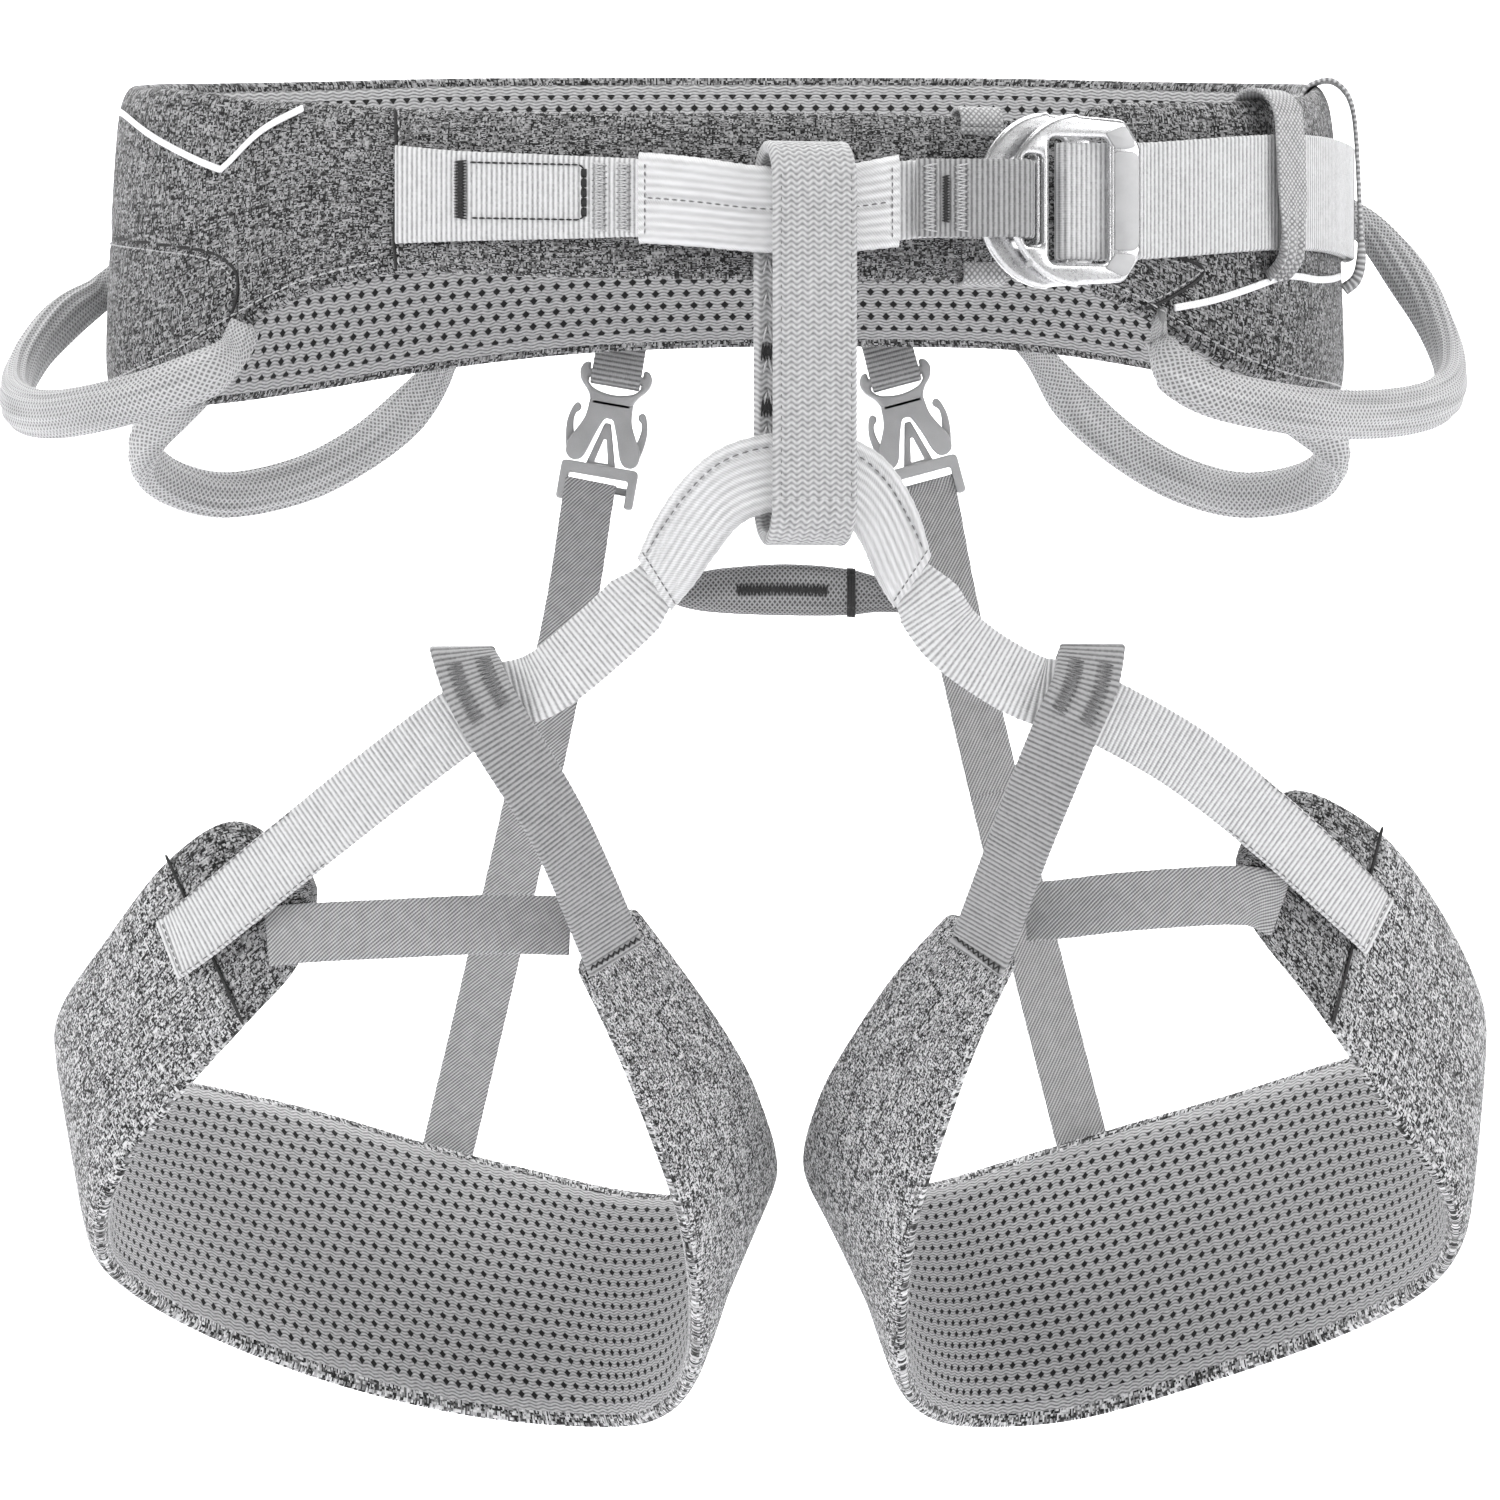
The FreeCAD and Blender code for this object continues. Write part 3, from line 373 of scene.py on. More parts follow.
class Look:
    """A node material with one Principled shader, and short ways to add nodes to it."""

    def __init__(self, label, roughness=0.8, metallic=0.0, sheen=0.0):
        self.material = bpy.data.materials.new(label)
        self.material.use_nodes = True
        self.tree = self.material.node_tree
        self.shader = self.tree.nodes["Principled BSDF"]
        self.shader.inputs["Roughness"].default_value = roughness
        self.shader.inputs["Metallic"].default_value = metallic
        self.shader.inputs["Sheen Weight"].default_value = sheen
        if metallic == 0:
            self.shader.inputs["Specular IOR Level"].default_value = 0.3

    def node(self, kind, **inputs):
        """A node with its inputs set or linked."""
        made = self.tree.nodes.new(kind)
        for name, value in inputs.items():
            self.feed(made.inputs[name.replace("_", " ")], value)
        return made

    def feed(self, socket, value):
        """Links a socket into another, or sets a plain value."""
        if isinstance(value, bpy.types.NodeSocket):
            self.tree.links.new(value, socket)
        else:
            socket.default_value = value

    def math(self, operation, first, second=0.0):
        """A Math node's value."""
        made = self.tree.nodes.new("ShaderNodeMath")
        made.operation = operation
        self.feed(made.inputs[0], first)
        self.feed(made.inputs[1], second)
        return made.outputs[0]

    def times(self, first, second):
        """The product of two values."""
        return self.math("MULTIPLY", first, second)

    def plus(self, first, second):
        """The sum of two values."""
        return self.math("ADD", first, second)

    def minus(self, first, second):
        """The first value less the second."""
        return self.math("SUBTRACT", first, second)

    def shared(self, first, second):
        """The first value divided by the second."""
        return self.math("DIVIDE", first, second)

    def sum(self, first, *others):
        """The sum of (value, weight) pairs."""
        total = self.times(*first)
        for pair in others:
            total = self.plus(total, self.times(*pair))
        return total

    def streaks(self, u, v, along, across):
        """Smooth noise over the cloth, with its own scale along and across."""
        return self.noise(self.joined(self.times(u, along), self.times(v, across)), 1.0)

    def places(self):
        """The UV layer's two coordinates in mm."""
        layer = self.tree.nodes.new("ShaderNodeUVMap")
        layer.uv_map = "UVMap"
        split = self.node("ShaderNodeSeparateXYZ", Vector=layer.outputs[0])
        return [self.times(split.outputs[k], 1000.0) for k in (0, 1)]

    def object_mm(self):
        """The object's own coordinates in mm."""
        place = self.tree.nodes.new("ShaderNodeTexCoord").outputs["Object"]
        return self.node("ShaderNodeMapping", Vector=place, Scale=(1000.0,) * 3).outputs[0]

    def joined(self, x, y, z=0.0):
        """A vector from three values."""
        return self.node("ShaderNodeCombineXYZ", X=x, Y=y, Z=z).outputs[0]

    def noise(self, place, scale, detail=2.0):
        """Smooth noise from 0 to 1."""
        return self.node("ShaderNodeTexNoise", Vector=place, Scale=scale, Detail=detail).outputs["Fac"]

    def cell(self, x, y):
        """One random value per unit cell of x and y."""
        made = self.tree.nodes.new("ShaderNodeTexWhiteNoise")
        made.noise_dimensions = "2D"
        self.feed(made.inputs["Vector"], self.joined(self.math("FLOOR", x), self.math("FLOOR", y)))
        return made.outputs["Value"]

    def wave(self, value, pitch):
        """A cosine from 0 to 1 with that pitch."""
        turned = self.math("COSINE", self.times(value, 2 * math.pi / pitch))
        return self.plus(self.times(turned, 0.5), 0.5)

    def span(self, value, low, high, to_low=0.0, to_high=1.0):
        """The value mapped from one range to another, kept inside it."""
        made = self.node("ShaderNodeMapRange", Value=value, From_Min=low, From_Max=high)
        made.inputs["To Min"].default_value = to_low
        made.inputs["To Max"].default_value = to_high
        return made.outputs[0]

    def ramp(self, value, *stops):
        """A grey ramp through stops of (place, grey)."""
        made = self.node("ShaderNodeValToRGB", Fac=value)
        elements = made.color_ramp.elements
        while len(elements) < len(stops):
            elements.new(0.5)
        for element, (place, grey) in zip(elements, stops):
            element.position = place
            element.color = (grey, grey, grey * 1.012, 1)
        return made.outputs[0]

    def finish(self, colour, height, depth_mm, strength=1.0):
        """Feeds the colour and a bump of that depth to the shader."""
        self.feed(self.shader.inputs["Base Color"], colour)
        bump = self.node("ShaderNodeBump", Height=height, Strength=strength, Distance=depth_mm * MM)
        self.feed(self.shader.inputs["Normal"], bump.outputs[0])
        return self.material


def heather(label, low, high):
    """Woven melange cloth: dark and light threads in both directions, with soft streaks."""
    look = Look(label, 0.92, sheen=0.12)
    u, v = look.places()
    thread = 0.42
    warp = look.cell(look.shared(u, 1.15), look.shared(v, thread))
    weft = look.cell(look.shared(u, thread), look.shared(v, 0.95))
    over = look.math("GREATER_THAN", look.cell(look.shared(u, thread), look.shared(v, thread)), 0.5)
    mixed = look.plus(look.times(warp, over),
                      look.times(weft, look.minus(1.0, over)))
    streak = look.streaks(u, v, 0.07, 0.9)
    slub = look.streaks(u, v, 0.9, 0.09)
    soft = look.sum((streak, 0.45), (slub, 0.35))
    value = look.plus(look.times(mixed, 0.72), look.minus(soft, 0.26))
    colour = look.ramp(value, (0.16, low * 0.12), (0.36, low), (0.58, (low + high) / 2.2), (0.82, high))
    weave = look.times(look.wave(u, thread * 2), look.wave(v, thread * 2))
    return look.finish(colour, look.plus(weave, mixed), 0.12, 0.55)


def knit_mesh(label, pitch_along, pitch_across, hole):
    """Knit lining with staggered diamond holes, plain near its rims."""
    look = Look(label, 0.9, sheen=0.1)
    u, v = look.places()
    row = look.shared(v, pitch_across)
    stagger = look.times(look.math("MODULO", look.math("ABSOLUTE", look.math("FLOOR", row)), 2.0), 0.5)
    column = look.plus(look.shared(u, pitch_along), stagger)
    x = look.times(look.minus(look.math("FRACT", column), 0.5), pitch_along)
    y = look.times(look.minus(look.math("FRACT", row), 0.5), pitch_across)
    distance = look.plus(look.math("ABSOLUTE", x), look.times(look.math("ABSOLUTE", y), 1.15))
    rim = look.tree.nodes.new("ShaderNodeAttribute")
    rim.attribute_name = "rim"
    inside = look.math("GREATER_THAN", rim.outputs["Fac"], 0.5)
    opening = look.times(look.span(distance, hole, hole * 0.72), inside)
    strand = look.streaks(u, v, 0.8, 3.2)
    rib = look.wave(look.plus(v, look.times(look.wave(u, pitch_along), 0.35)), pitch_across / 4)
    tone = look.sum((strand, 0.55), (rib, 0.35))
    body = look.times(tone, look.minus(1.0, opening))
    colour = look.ramp(body, (0.02, 0.01), (0.14, 0.07), (0.42, 0.3), (0.8, 0.62))
    return look.finish(colour, look.minus(look.times(tone, 0.4), opening), 0.5, 0.8)


def webbing(label, low, high, pitch=2.2):
    """Ribbed webbing: cross ribs with dark grooves, and fine threads along it."""
    look = Look(label, 0.72, sheen=0.08)
    u, v = look.places()
    rib = look.wave(u, pitch)
    fine = look.times(look.wave(v, 0.62), 0.5)
    weave = look.cell(look.shared(u, pitch / 3), look.shared(v, 0.62))
    worn = look.streaks(u, v, 0.25, 0.25)
    value = look.sum((rib, 0.62), (weave, 0.16), (worn, 0.25))
    middle = (low + 2 * high) / 3
    colour = look.ramp(value, (0.05, low * 0.62), (0.3, low), (0.55, middle), (0.95, high))
    return look.finish(colour, look.plus(rib, look.plus(fine, weave)), 0.14, 0.6)


def sleeve_cloth(label, low, high):
    """White tubular tape: long cords with a fine slanted weave."""
    look = Look(label, 0.7, sheen=0.1)
    u, v = look.places()
    slant = look.wave(look.plus(u, look.times(v, 0.9)), 0.75)
    cord = look.wave(v, 2.1)
    worn = look.streaks(u, v, 0.15, 0.8)
    value = look.sum((slant, 0.25), (cord, 0.35), (worn, 0.4))
    colour = look.ramp(value, (0.1, low), (0.45, (low + high) / 2), (0.85, high))
    return look.finish(colour, look.plus(slant, cord), 0.12, 0.6)


def wavy_webbing(label, low, high):
    """Heavy belay webbing: rows of short waves with dark gaps, and plain edges."""
    look = Look(label, 0.7, sheen=0.08)
    u, v = look.places()
    bend = look.times(look.math("SINE", look.times(v, 2 * math.pi / 2.9)), 0.42)
    row = look.wave(look.plus(u, bend), 1.45)
    column = look.wave(v, 1.45)
    worn = look.streaks(u, v, 0.4, 0.4)
    value = look.sum((row, 0.5), (column, 0.12), (worn, 0.35))
    colour = look.ramp(value, (0.12, low * 0.6), (0.34, low), (0.6, (low + high) / 2), (0.92, high))
    return look.finish(colour, look.plus(row, look.times(column, 0.3)), 0.3, 0.75)


def twill(label, low, high, pitch=1.25):
    """Twill elastic: slanted ridges."""
    look = Look(label, 0.8, sheen=0.1)
    u, v = look.places()
    ridge = look.wave(look.plus(u, look.times(v, 1.25)), pitch)
    dash = look.wave(look.minus(u, look.times(v, 0.5)), 0.7)
    worn = look.streaks(u, v, 0.3, 0.3)
    value = look.sum((ridge, 0.6), (dash, 0.15), (worn, 0.25))
    colour = look.ramp(value, (0.08, low * 0.5), (0.35, low), (0.6, (low + high) / 2), (0.92, high))
    return look.finish(colour, ridge, 0.25, 0.7)


def braid(label, low, high, pitch=1.5):
    """Braided sheath: two slanted families of strands that cross."""
    look = Look(label, 0.62, sheen=0.1)
    u, v = look.places()
    one = look.wave(look.plus(u, look.times(v, 1.1)), pitch)
    other = look.wave(look.minus(u, look.times(v, 1.1)), pitch)
    strand = look.math("MAXIMUM", one, other)
    # The long dark streaks along the cord are painted shade of its folds; the same streaks also shape
    # the bump.
    groove = look.streaks(u, v, 0.03, 0.75)
    value = look.sum((strand, 0.55), (groove, 0.5))
    colour = look.ramp(value, (0.25, low * 0.6), (0.48, low), (0.68, (low + high) / 2), (0.95, high))
    return look.finish(colour, look.plus(strand, groove), 0.22, 0.7)


def tape(label, low, high, pitch=1.5):
    """Diagonal basket tape."""
    look = Look(label, 0.75, sheen=0.1)
    u, v = look.places()
    a = look.plus(u, v)
    b = look.minus(u, v)
    basket = look.times(look.wave(a, pitch), look.wave(b, pitch))
    worn = look.streaks(u, v, 0.4, 0.4)
    value = look.sum((basket, 0.75), (worn, 0.3))
    colour = look.ramp(value, (0.08, low * 0.4), (0.3, low), (0.55, (low + high) / 2), (0.9, high))
    return look.finish(colour, basket, 0.25, 0.7)


def moulded(label, tone):
    """Satin moulded plastic with a fine grain."""
    look = Look(label, 0.42)
    place = look.object_mm()
    grain = look.noise(place, 3.0, 3.0)
    cloud = look.noise(place, 0.12)
    value = look.sum((grain, 0.3), (cloud, 0.7))
    colour = look.ramp(value, (0.25, tone * 0.85), (0.75, tone * 1.12))
    return look.finish(colour, grain, 0.03, 0.3)


def polished(label, rough, tone):
    """Aluminium with faint tumbling marks, bright or satin."""
    look = Look(label, rough, metallic=1.0)
    place = look.object_mm()
    marks = look.noise(place, 1.6, 4.0)
    cloud = look.noise(place, 0.15)
    look.feed(look.shader.inputs["Roughness"], look.span(marks, 0.2, 0.8, rough, rough + 0.08))
    return look.finish(look.ramp(cloud, (0.3, tone * 0.94), (0.7, tone * 1.06)), marks, 0.004, 0.1)


def thread(label, tone):
    """Sewing thread."""
    look = Look(label, 0.6)
    grain = look.noise(look.object_mm(), 4.0)
    return look.finish(look.ramp(grain, (0.3, tone * 0.7), (0.7, tone * 1.3)), grain, 0.05, 0.4)


def foam_look(label):
    """Closed-cell foam."""
    look = Look(label, 0.85)
    cells = look.noise(look.object_mm(), 2.5, 3.0)
    return look.finish(look.ramp(cells, (0.3, 0.25), (0.7, 0.36)), cells, 0.1, 0.5)


def studio_white(label):
    """The backdrop's pale matt surface."""
    look = Look(label, 0.95)
    cloud = look.noise(look.object_mm(), 0.004)
    return look.finish(look.ramp(cloud, (0.2, 0.93), (0.8, 0.95)), cloud, 0.01, 0.1)


RIB_PITCH, RIB_STEP = 1.35, 0.34
LOOKS = {
    "heather_fabric": heather("heather_fabric", 0.018, 0.38),
    "leg_heather": heather("leg_heather", 0.05, 0.64),
    # A darker copy of the leg heather for the tongue under the webbing: painted shade.
    "shaded_tongue_heather": heather("shaded_tongue_heather", 0.03, 0.46),
    "mesh_lining": knit_mesh("mesh_lining", 4.4, 3.1, 1.3),
    "leg_mesh_lining": knit_mesh("leg_mesh_lining", 3.7, 2.8, 1.12),
    "grey_webbing": webbing("grey_webbing", 0.4, 0.72, RIB_PITCH),
    "mid_webbing": webbing("mid_webbing", 0.18, 0.4, RIB_PITCH),
    "white_webbing": wavy_webbing("white_webbing", 0.36, 0.66),
    "white_sleeve": sleeve_cloth("white_sleeve", 0.42, 0.8),
    "grey_elastic": twill("grey_elastic", 0.22, 0.55),
    "gear_sheath": braid("gear_sheath", 0.24, 0.66),
    "dark_braid": braid("dark_braid", 0.08, 0.4, 1.3),
    "keeper_tape": tape("keeper_tape", 0.4, 0.66),
    "white_trim": thread("white_trim", 0.85),
    "grey_plastic": moulded("grey_plastic", 0.4),
    "aluminium": polished("aluminium", 0.24, 0.66),
    "satin_aluminium": polished("satin_aluminium", 0.5, 0.42),
    # Dark thread, and also the painted shade laid in the pad seams.
    "dark_thread_and_seam_shade": thread("dark_thread_and_seam_shade", 0.03),
    "grey_thread": thread("grey_thread", 0.2),
    "pale_thread": thread("pale_thread", 0.5),
    "foam": foam_look("foam"),
}


def dress(thing, look, body=None, replaces=()):
    """Gives a piece its material, its body and the CAD nodes that it stands for."""
    thing.data.materials.clear()
    thing.data.materials.append(LOOKS[look])
    if body:
        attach(thing, body)
    if replaces:
        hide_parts(*replaces)
    return thing


# Pads -------------------------------------------------------------------------------------------

# Places round a pad's section, as shares of its half height from the middle.
PAD_SHARES = (0.0, 0.22, 0.44, 0.63, 0.78, 0.88, 0.95, 0.985, 1.0)
PAD_ROUNDNESS = 8
PIN_SHARE = 0.93


def pad_section(thickness, crown):
    """(across share, proud in mm) round a pad, from the top of its outer face."""
    half = thickness / 2
    shares = [s for s in PAD_SHARES[::-1]] + [-s for s in PAD_SHARES[1:]]
    outer, inner = [], []
    for share in shares:
        rise = half * max(0.0, 1 - abs(share) ** PAD_ROUNDNESS) ** 0.5
        outer.append((share, rise - half + crown * (1 - share**2)))
        inner.append((share, -rise - half))
    return outer + inner[-2:0:-1]


def pad_mesh(label, ribbon, thickness, crown):
    """A closed padded band whose outer face lies on the ribbon."""
    section = pad_section(thickness, crown)
    rings = []
    for k in range(len(ribbon.along)):
        end = min(ribbon.along[k], ribbon.along[-1] - ribbon.along[k])
        full = min(1.0, 0.35 + 0.65 * (end / 6) ** 0.5)
        ring = []
        for share, proud in section:
            depth = -thickness / 2 + (proud + thickness / 2) * full
            aside = ribbon.across[k] * share * ribbon.half[k]
            ring.append(ribbon.centre[k] + aside + ribbon.out[k] * depth)
        rings.append(ring)
    mean = ribbon.half.mean()
    around = [share * mean for share, _ in section]
    return ring_mesh(label, rings, ribbon.along, around + around[:1])


def puff(pad, ribbon_size, pressure, limit):
    """Lets the pad's outer face swell between its sewn rims with a Cloth run, and keeps the result."""
    mesh = pad.data
    group = pad.vertex_groups.new(name="sewn")
    shares = [share for share, _ in pad_section(1, 0)]
    size = len(shares)
    outer_size = 2 * len(PAD_SHARES) - 1
    count = len(mesh.vertices)
    for k in range(count):
        ring, place = divmod(k, size)
        at_end = ring in (0, 1, ribbon_size - 1, ribbon_size)
        sewn = at_end or place >= outer_size or abs(shares[place]) > PIN_SHARE
        group.add([k], 1.0 if sewn else 0.12, "REPLACE")
    rest = np.zeros(count * 3)
    mesh.vertices.foreach_get("co", rest)
    cloth = pad.modifiers.new("Cloth", "CLOTH")
    cloth.settings.quality = 6
    cloth.settings.mass = 0.3
    cloth.settings.tension_stiffness = cloth.settings.compression_stiffness = 12
    cloth.settings.bending_stiffness = 0.4
    cloth.settings.use_pressure = True
    cloth.settings.uniform_pressure_force = pressure
    cloth.settings.vertex_group_mass = "sewn"
    cloth.settings.pin_stiffness = 1.0
    cloth.settings.shrink_min = -0.02
    cloth.settings.effector_weights.gravity = 0
    cloth.point_cache.frame_end = CLOTH_FRAMES
    for number in range(1, CLOTH_FRAMES + 1):
        bpy.context.scene.frame_set(number)
    swollen = pad.evaluated_get(bpy.context.evaluated_depsgraph_get()).to_mesh()
    moved = np.zeros(count * 3)
    swollen.vertices.foreach_get("co", moved)
    shift = (moved - rest).reshape(-1, 3)
    far = np.linalg.norm(shift, axis=1, keepdims=True)
    shift *= np.minimum(1, limit * MM / np.maximum(far, 1e-9))
    pad.modifiers.clear()
    mesh.vertices.foreach_set("co", rest + shift.ravel())
    mesh.update()
    bpy.context.scene.frame_set(1)


def subdivide(thing, levels):
    """Applies Catmull-Clark subdivision."""
    refine = thing.modifiers.new("Refine", "SUBSURF")
    refine.levels = refine.render_levels = levels
    shown = thing.evaluated_get(bpy.context.evaluated_depsgraph_get())
    fine = bpy.data.meshes.new_from_object(shown)
    thing.modifiers.clear()
    thing.data = fine
    fine.polygons.foreach_set("use_smooth", [True] * len(fine.polygons))


def groove(thing, lines, depth=0.9, width=1.3):
    """Presses seams into the mesh along lines of points in mm."""
    mesh = thing.data
    count = len(mesh.vertices)
    place, normal = np.zeros(count * 3), np.zeros(count * 3)
    mesh.vertices.foreach_get("co", place)
    mesh.vertices.foreach_get("normal", normal)
    place, normal = place.reshape(-1, 3) / MM, normal.reshape(-1, 3)
    press = np.zeros(count)
    for line in lines:
        line = points_of(line)
        reach = 3 * width
        near = np.all((place > line.min(0) - reach) & (place < line.max(0) + reach), axis=1)
        if not near.any():
            continue
        gap = np.full(near.sum(), 1e9)
        for start in range(0, len(line), 64):
            block = line[start:start + 64]
            gap = np.minimum(gap, np.linalg.norm(place[near][:, None] - block[None], axis=2).min(1))
        press[near] = np.maximum(press[near], depth * np.exp(-((gap / width) ** 2)))
    mesh.vertices.foreach_set("co", ((place - normal * press[:, None]) * MM).ravel())
    mesh.update()


def lining_mesh(label, ribbon, thickness, room, inset, skin=0.9):
    """A thin closed sheet over a pad's inner face, with its rim marked as plain."""
    section = []
    shares = np.linspace(1, -1, 15)
    edge = 1 - inset / ribbon.half.mean()
    for share in shares:
        rise = (thickness / 2) * max(0.0, 1 - abs(share * edge) ** PAD_ROUNDNESS) ** 0.5
        section.append((share * edge, -thickness / 2 - rise - room))
    under = [(share, proud + skin) for share, proud in section[::-1]]
    whole = section + under
    keep = slice(1, len(ribbon.along) - 1)
    rings = [
        [ribbon.centre[k] + ribbon.across[k] * share * ribbon.half[k] + ribbon.out[k] * proud
         for share, proud in whole]
        for k in range(len(ribbon.along))[keep]
    ]
    mean = ribbon.half.mean()
    around = [share * mean for share, _ in whole]
    thing = ring_mesh(label, rings, ribbon.along[keep], around + around[:1])
    mark = thing.data.attributes.new("rim", "FLOAT", "POINT")
    edges = (0, len(shares) - 1, len(shares), len(whole) - 1)
    count = len(thing.data.vertices)
    mark.data.foreach_set("value", [0.0 if k % len(whole) in edges else 1.0 for k in range(count)])
    return thing


# The waist --------------------------------------------------------------------------------------

BELT_HALF_WIDTH, BELT_HALF_DEPTH, BELT_FLARE, BELT_LIFT = 163.2, 112.0, 0.05, 10.0
LIFT_START, LIFT_END = -278, -310
BELT_THICKNESS = 8.2
BELT_PROFILE = [
    (41, 21, -11), (32, 25, -13.5), (18, 27, -16), (0, 27, -16), (-18, 27.5, -15), (-30, 29, -13.5),
    (-41, 31.5, -18), (-50, 33, -26), (-61, 36.5, -35.5), (-75, 39, -41), (-90, 41.5, -42.5),
    (-105, 44, -43), (-120, 46, -42), (-135, 48, -37.5), (-150, 50, -31), (-165, 51, -26),
    (-180, 51.3, -24), (-195, 51, -24), (-210, 50, -25.5), (-225, 48, -31), (-240, 46, -38),
    (-255, 44, -42), (-270, 41.5, -43.5), (-285, 37, -43), (-300, 34, -42), (-309, 32, -38),
    (-316, 31, -31), (-322, 30.5, -23), (-327, 28.5, -18),
]
TRIMS = {
    "left": [
        (-84, 34), (-76, 31), (-64, 22.5), (-54.5, 15.5), (-52.6, 15.5), (-47.5, 24), (-42, 29.5),
    ],
    "right": [
        (-278, -10.5), (-286, -12), (-294, -13), (-299, -12.8), (-303.5, -13.6), (-313, -20),
        (-318, -22.5),
    ],
}
RIM_STITCH_FROM = -31
# Seams of the belt's cover, as (angle from the front, height).
BELT_SEAMS = {
    "front": [(-31.5, 28.4), (-31.2, 10), (-31.3, -4), (-31, -12.6)],
    "pocket": [
        (-90, 1), (-78, -1), (-66, -3.5), (-55.5, -6.5), (-51.2, -11), (-50.4, -17), (-51.4, -25),
    ],
    "flap": [(-323, -7.5), (-318.5, -8.5), (-314, -12.5), (-317.5, -19), (-321, -23)],
}
# Each seam's stitches: how far aside of the seam and how proud of the belt they lie.
BELT_SEAM_STITCHES = (("front", -1.9, 0.55), ("pocket", 1.8, 0.5), ("flap", 1.7, 0.5))
# Rows of x, y, and the heights of the upper and lower edges.
WAIST_WEBBING = [
    (-84, -98.5, 19, -6.4), (-68.5, -104, 17.3, -6.1), (-52, -108.6, 16.3, -6),
    (-35, -112.5, 15.3, -5.8), (-20, -117, 14.3, -5.7), (-6, -123, 12.6, -6.9),
    (8, -127, 10.4, -8.4), (20, -128.2, 10, -8.6), (32, -127.2, 10.8, -8.2), (44, -124.3, 13.2, -7),
    (50.5, -123.2, 13.6, -6.3), (60, -121.6, 13.8, -6),
]
WEBBING_THICKNESS = 1.8
SLEEVE_SPAN = (-21.5, 44.5)
BUCKLE_CENTRE, BUCKLE_TURN = points_of((84.7, -112, 3.9)), math.radians(20.7)
PLATE_THICKNESS, REAR_PLATE_FACE, PLATE_GAP = 2.8, -0.2, 2.1
BUCKLE_STRAP = [
    (-38.5, 0.2), (-36, 0.8), (-31, 1.8), (-26, 4.2), (-20, 6.4), (-13, 7.4), (-10.2, 6.6),
    (-8.3, 3.6), (-8.1, 0.2), (-8.5, -2.4), (-10.2, -4.2), (-13, -4.7), (-20, -4.6), (-26, -3.6),
    (-31, -3.1), (-36, -3.8), (-38.5, -4.2),
]
ADJUST_INNER_ANGLES = (-262, -266, -270, -275, -281, -288, -295, -302, -309, -316, -322)
ADJUST_OUTER_ANGLES = (-321, -316, -311, -307, -303, -297, -290, -283, -277, -272, -268, -264)
ADJUST_WIDTH, ADJUST_THICKNESS, ADJUST_CLEARANCE, ADJUST_SPACING = 30.0, 1.5, 1.0, 0.5
# The webbing climbs by ADJUST_RISE over this stretch of x.
ADJUST_RISE, ADJUST_RISE_START, ADJUST_RISE_RUN = 5.5, 92, 70
# Where the keepers sit round the belt, in degrees from the front.
RING_ANGLE, FRONT_TAPE_ANGLE, SIDE_TAPE_ANGLE = 24, -304, -272


def ease(t):
    """0 below 0, 1 above 1, and a smooth step between."""
    t = min(max(t, 0.0), 1.0)
    return t * t * (3 - 2 * t)


def belt_point(angle, height, proud=0.0):
    """A point of the belt's outer surface at an angle from the front, or proud of it."""
    turn = math.radians(angle)
    half_width = BELT_HALF_WIDTH - BELT_FLARE * height
    half_depth = BELT_HALF_DEPTH - BELT_FLARE * height
    lift = BELT_LIFT * ease((LIFT_START - angle) / (LIFT_START - LIFT_END))
    normal = unit(points_of((math.sin(turn) / half_width, -math.cos(turn) / half_depth, 0)))
    place = points_of((half_width * math.sin(turn), -half_depth * math.cos(turn), height))
    return place + normal * (lift + proud)


def on_belt(line, proud, per_span=10):
    """A line of (angle, height) laid on the belt."""
    return np.array([belt_point(a, h, proud) for a, h in smooth(line, per_span)])


def in_buckle(across, proud, height=0.0):
    """A point in the waist buckle's own frame."""
    c, s = math.cos(BUCKLE_TURN), math.sin(BUCKLE_TURN)
    return BUCKLE_CENTRE + points_of((across * c + proud * s, across * s - proud * c, height))


def thread_guide(line):
    """A narrow upright ribbon along a line on the belt, for stitches to follow."""
    count = len(line)
    return Ribbon(line, np.tile(UP, (count, 1)), unit(line * (1, 1, 0)), np.ones(count))


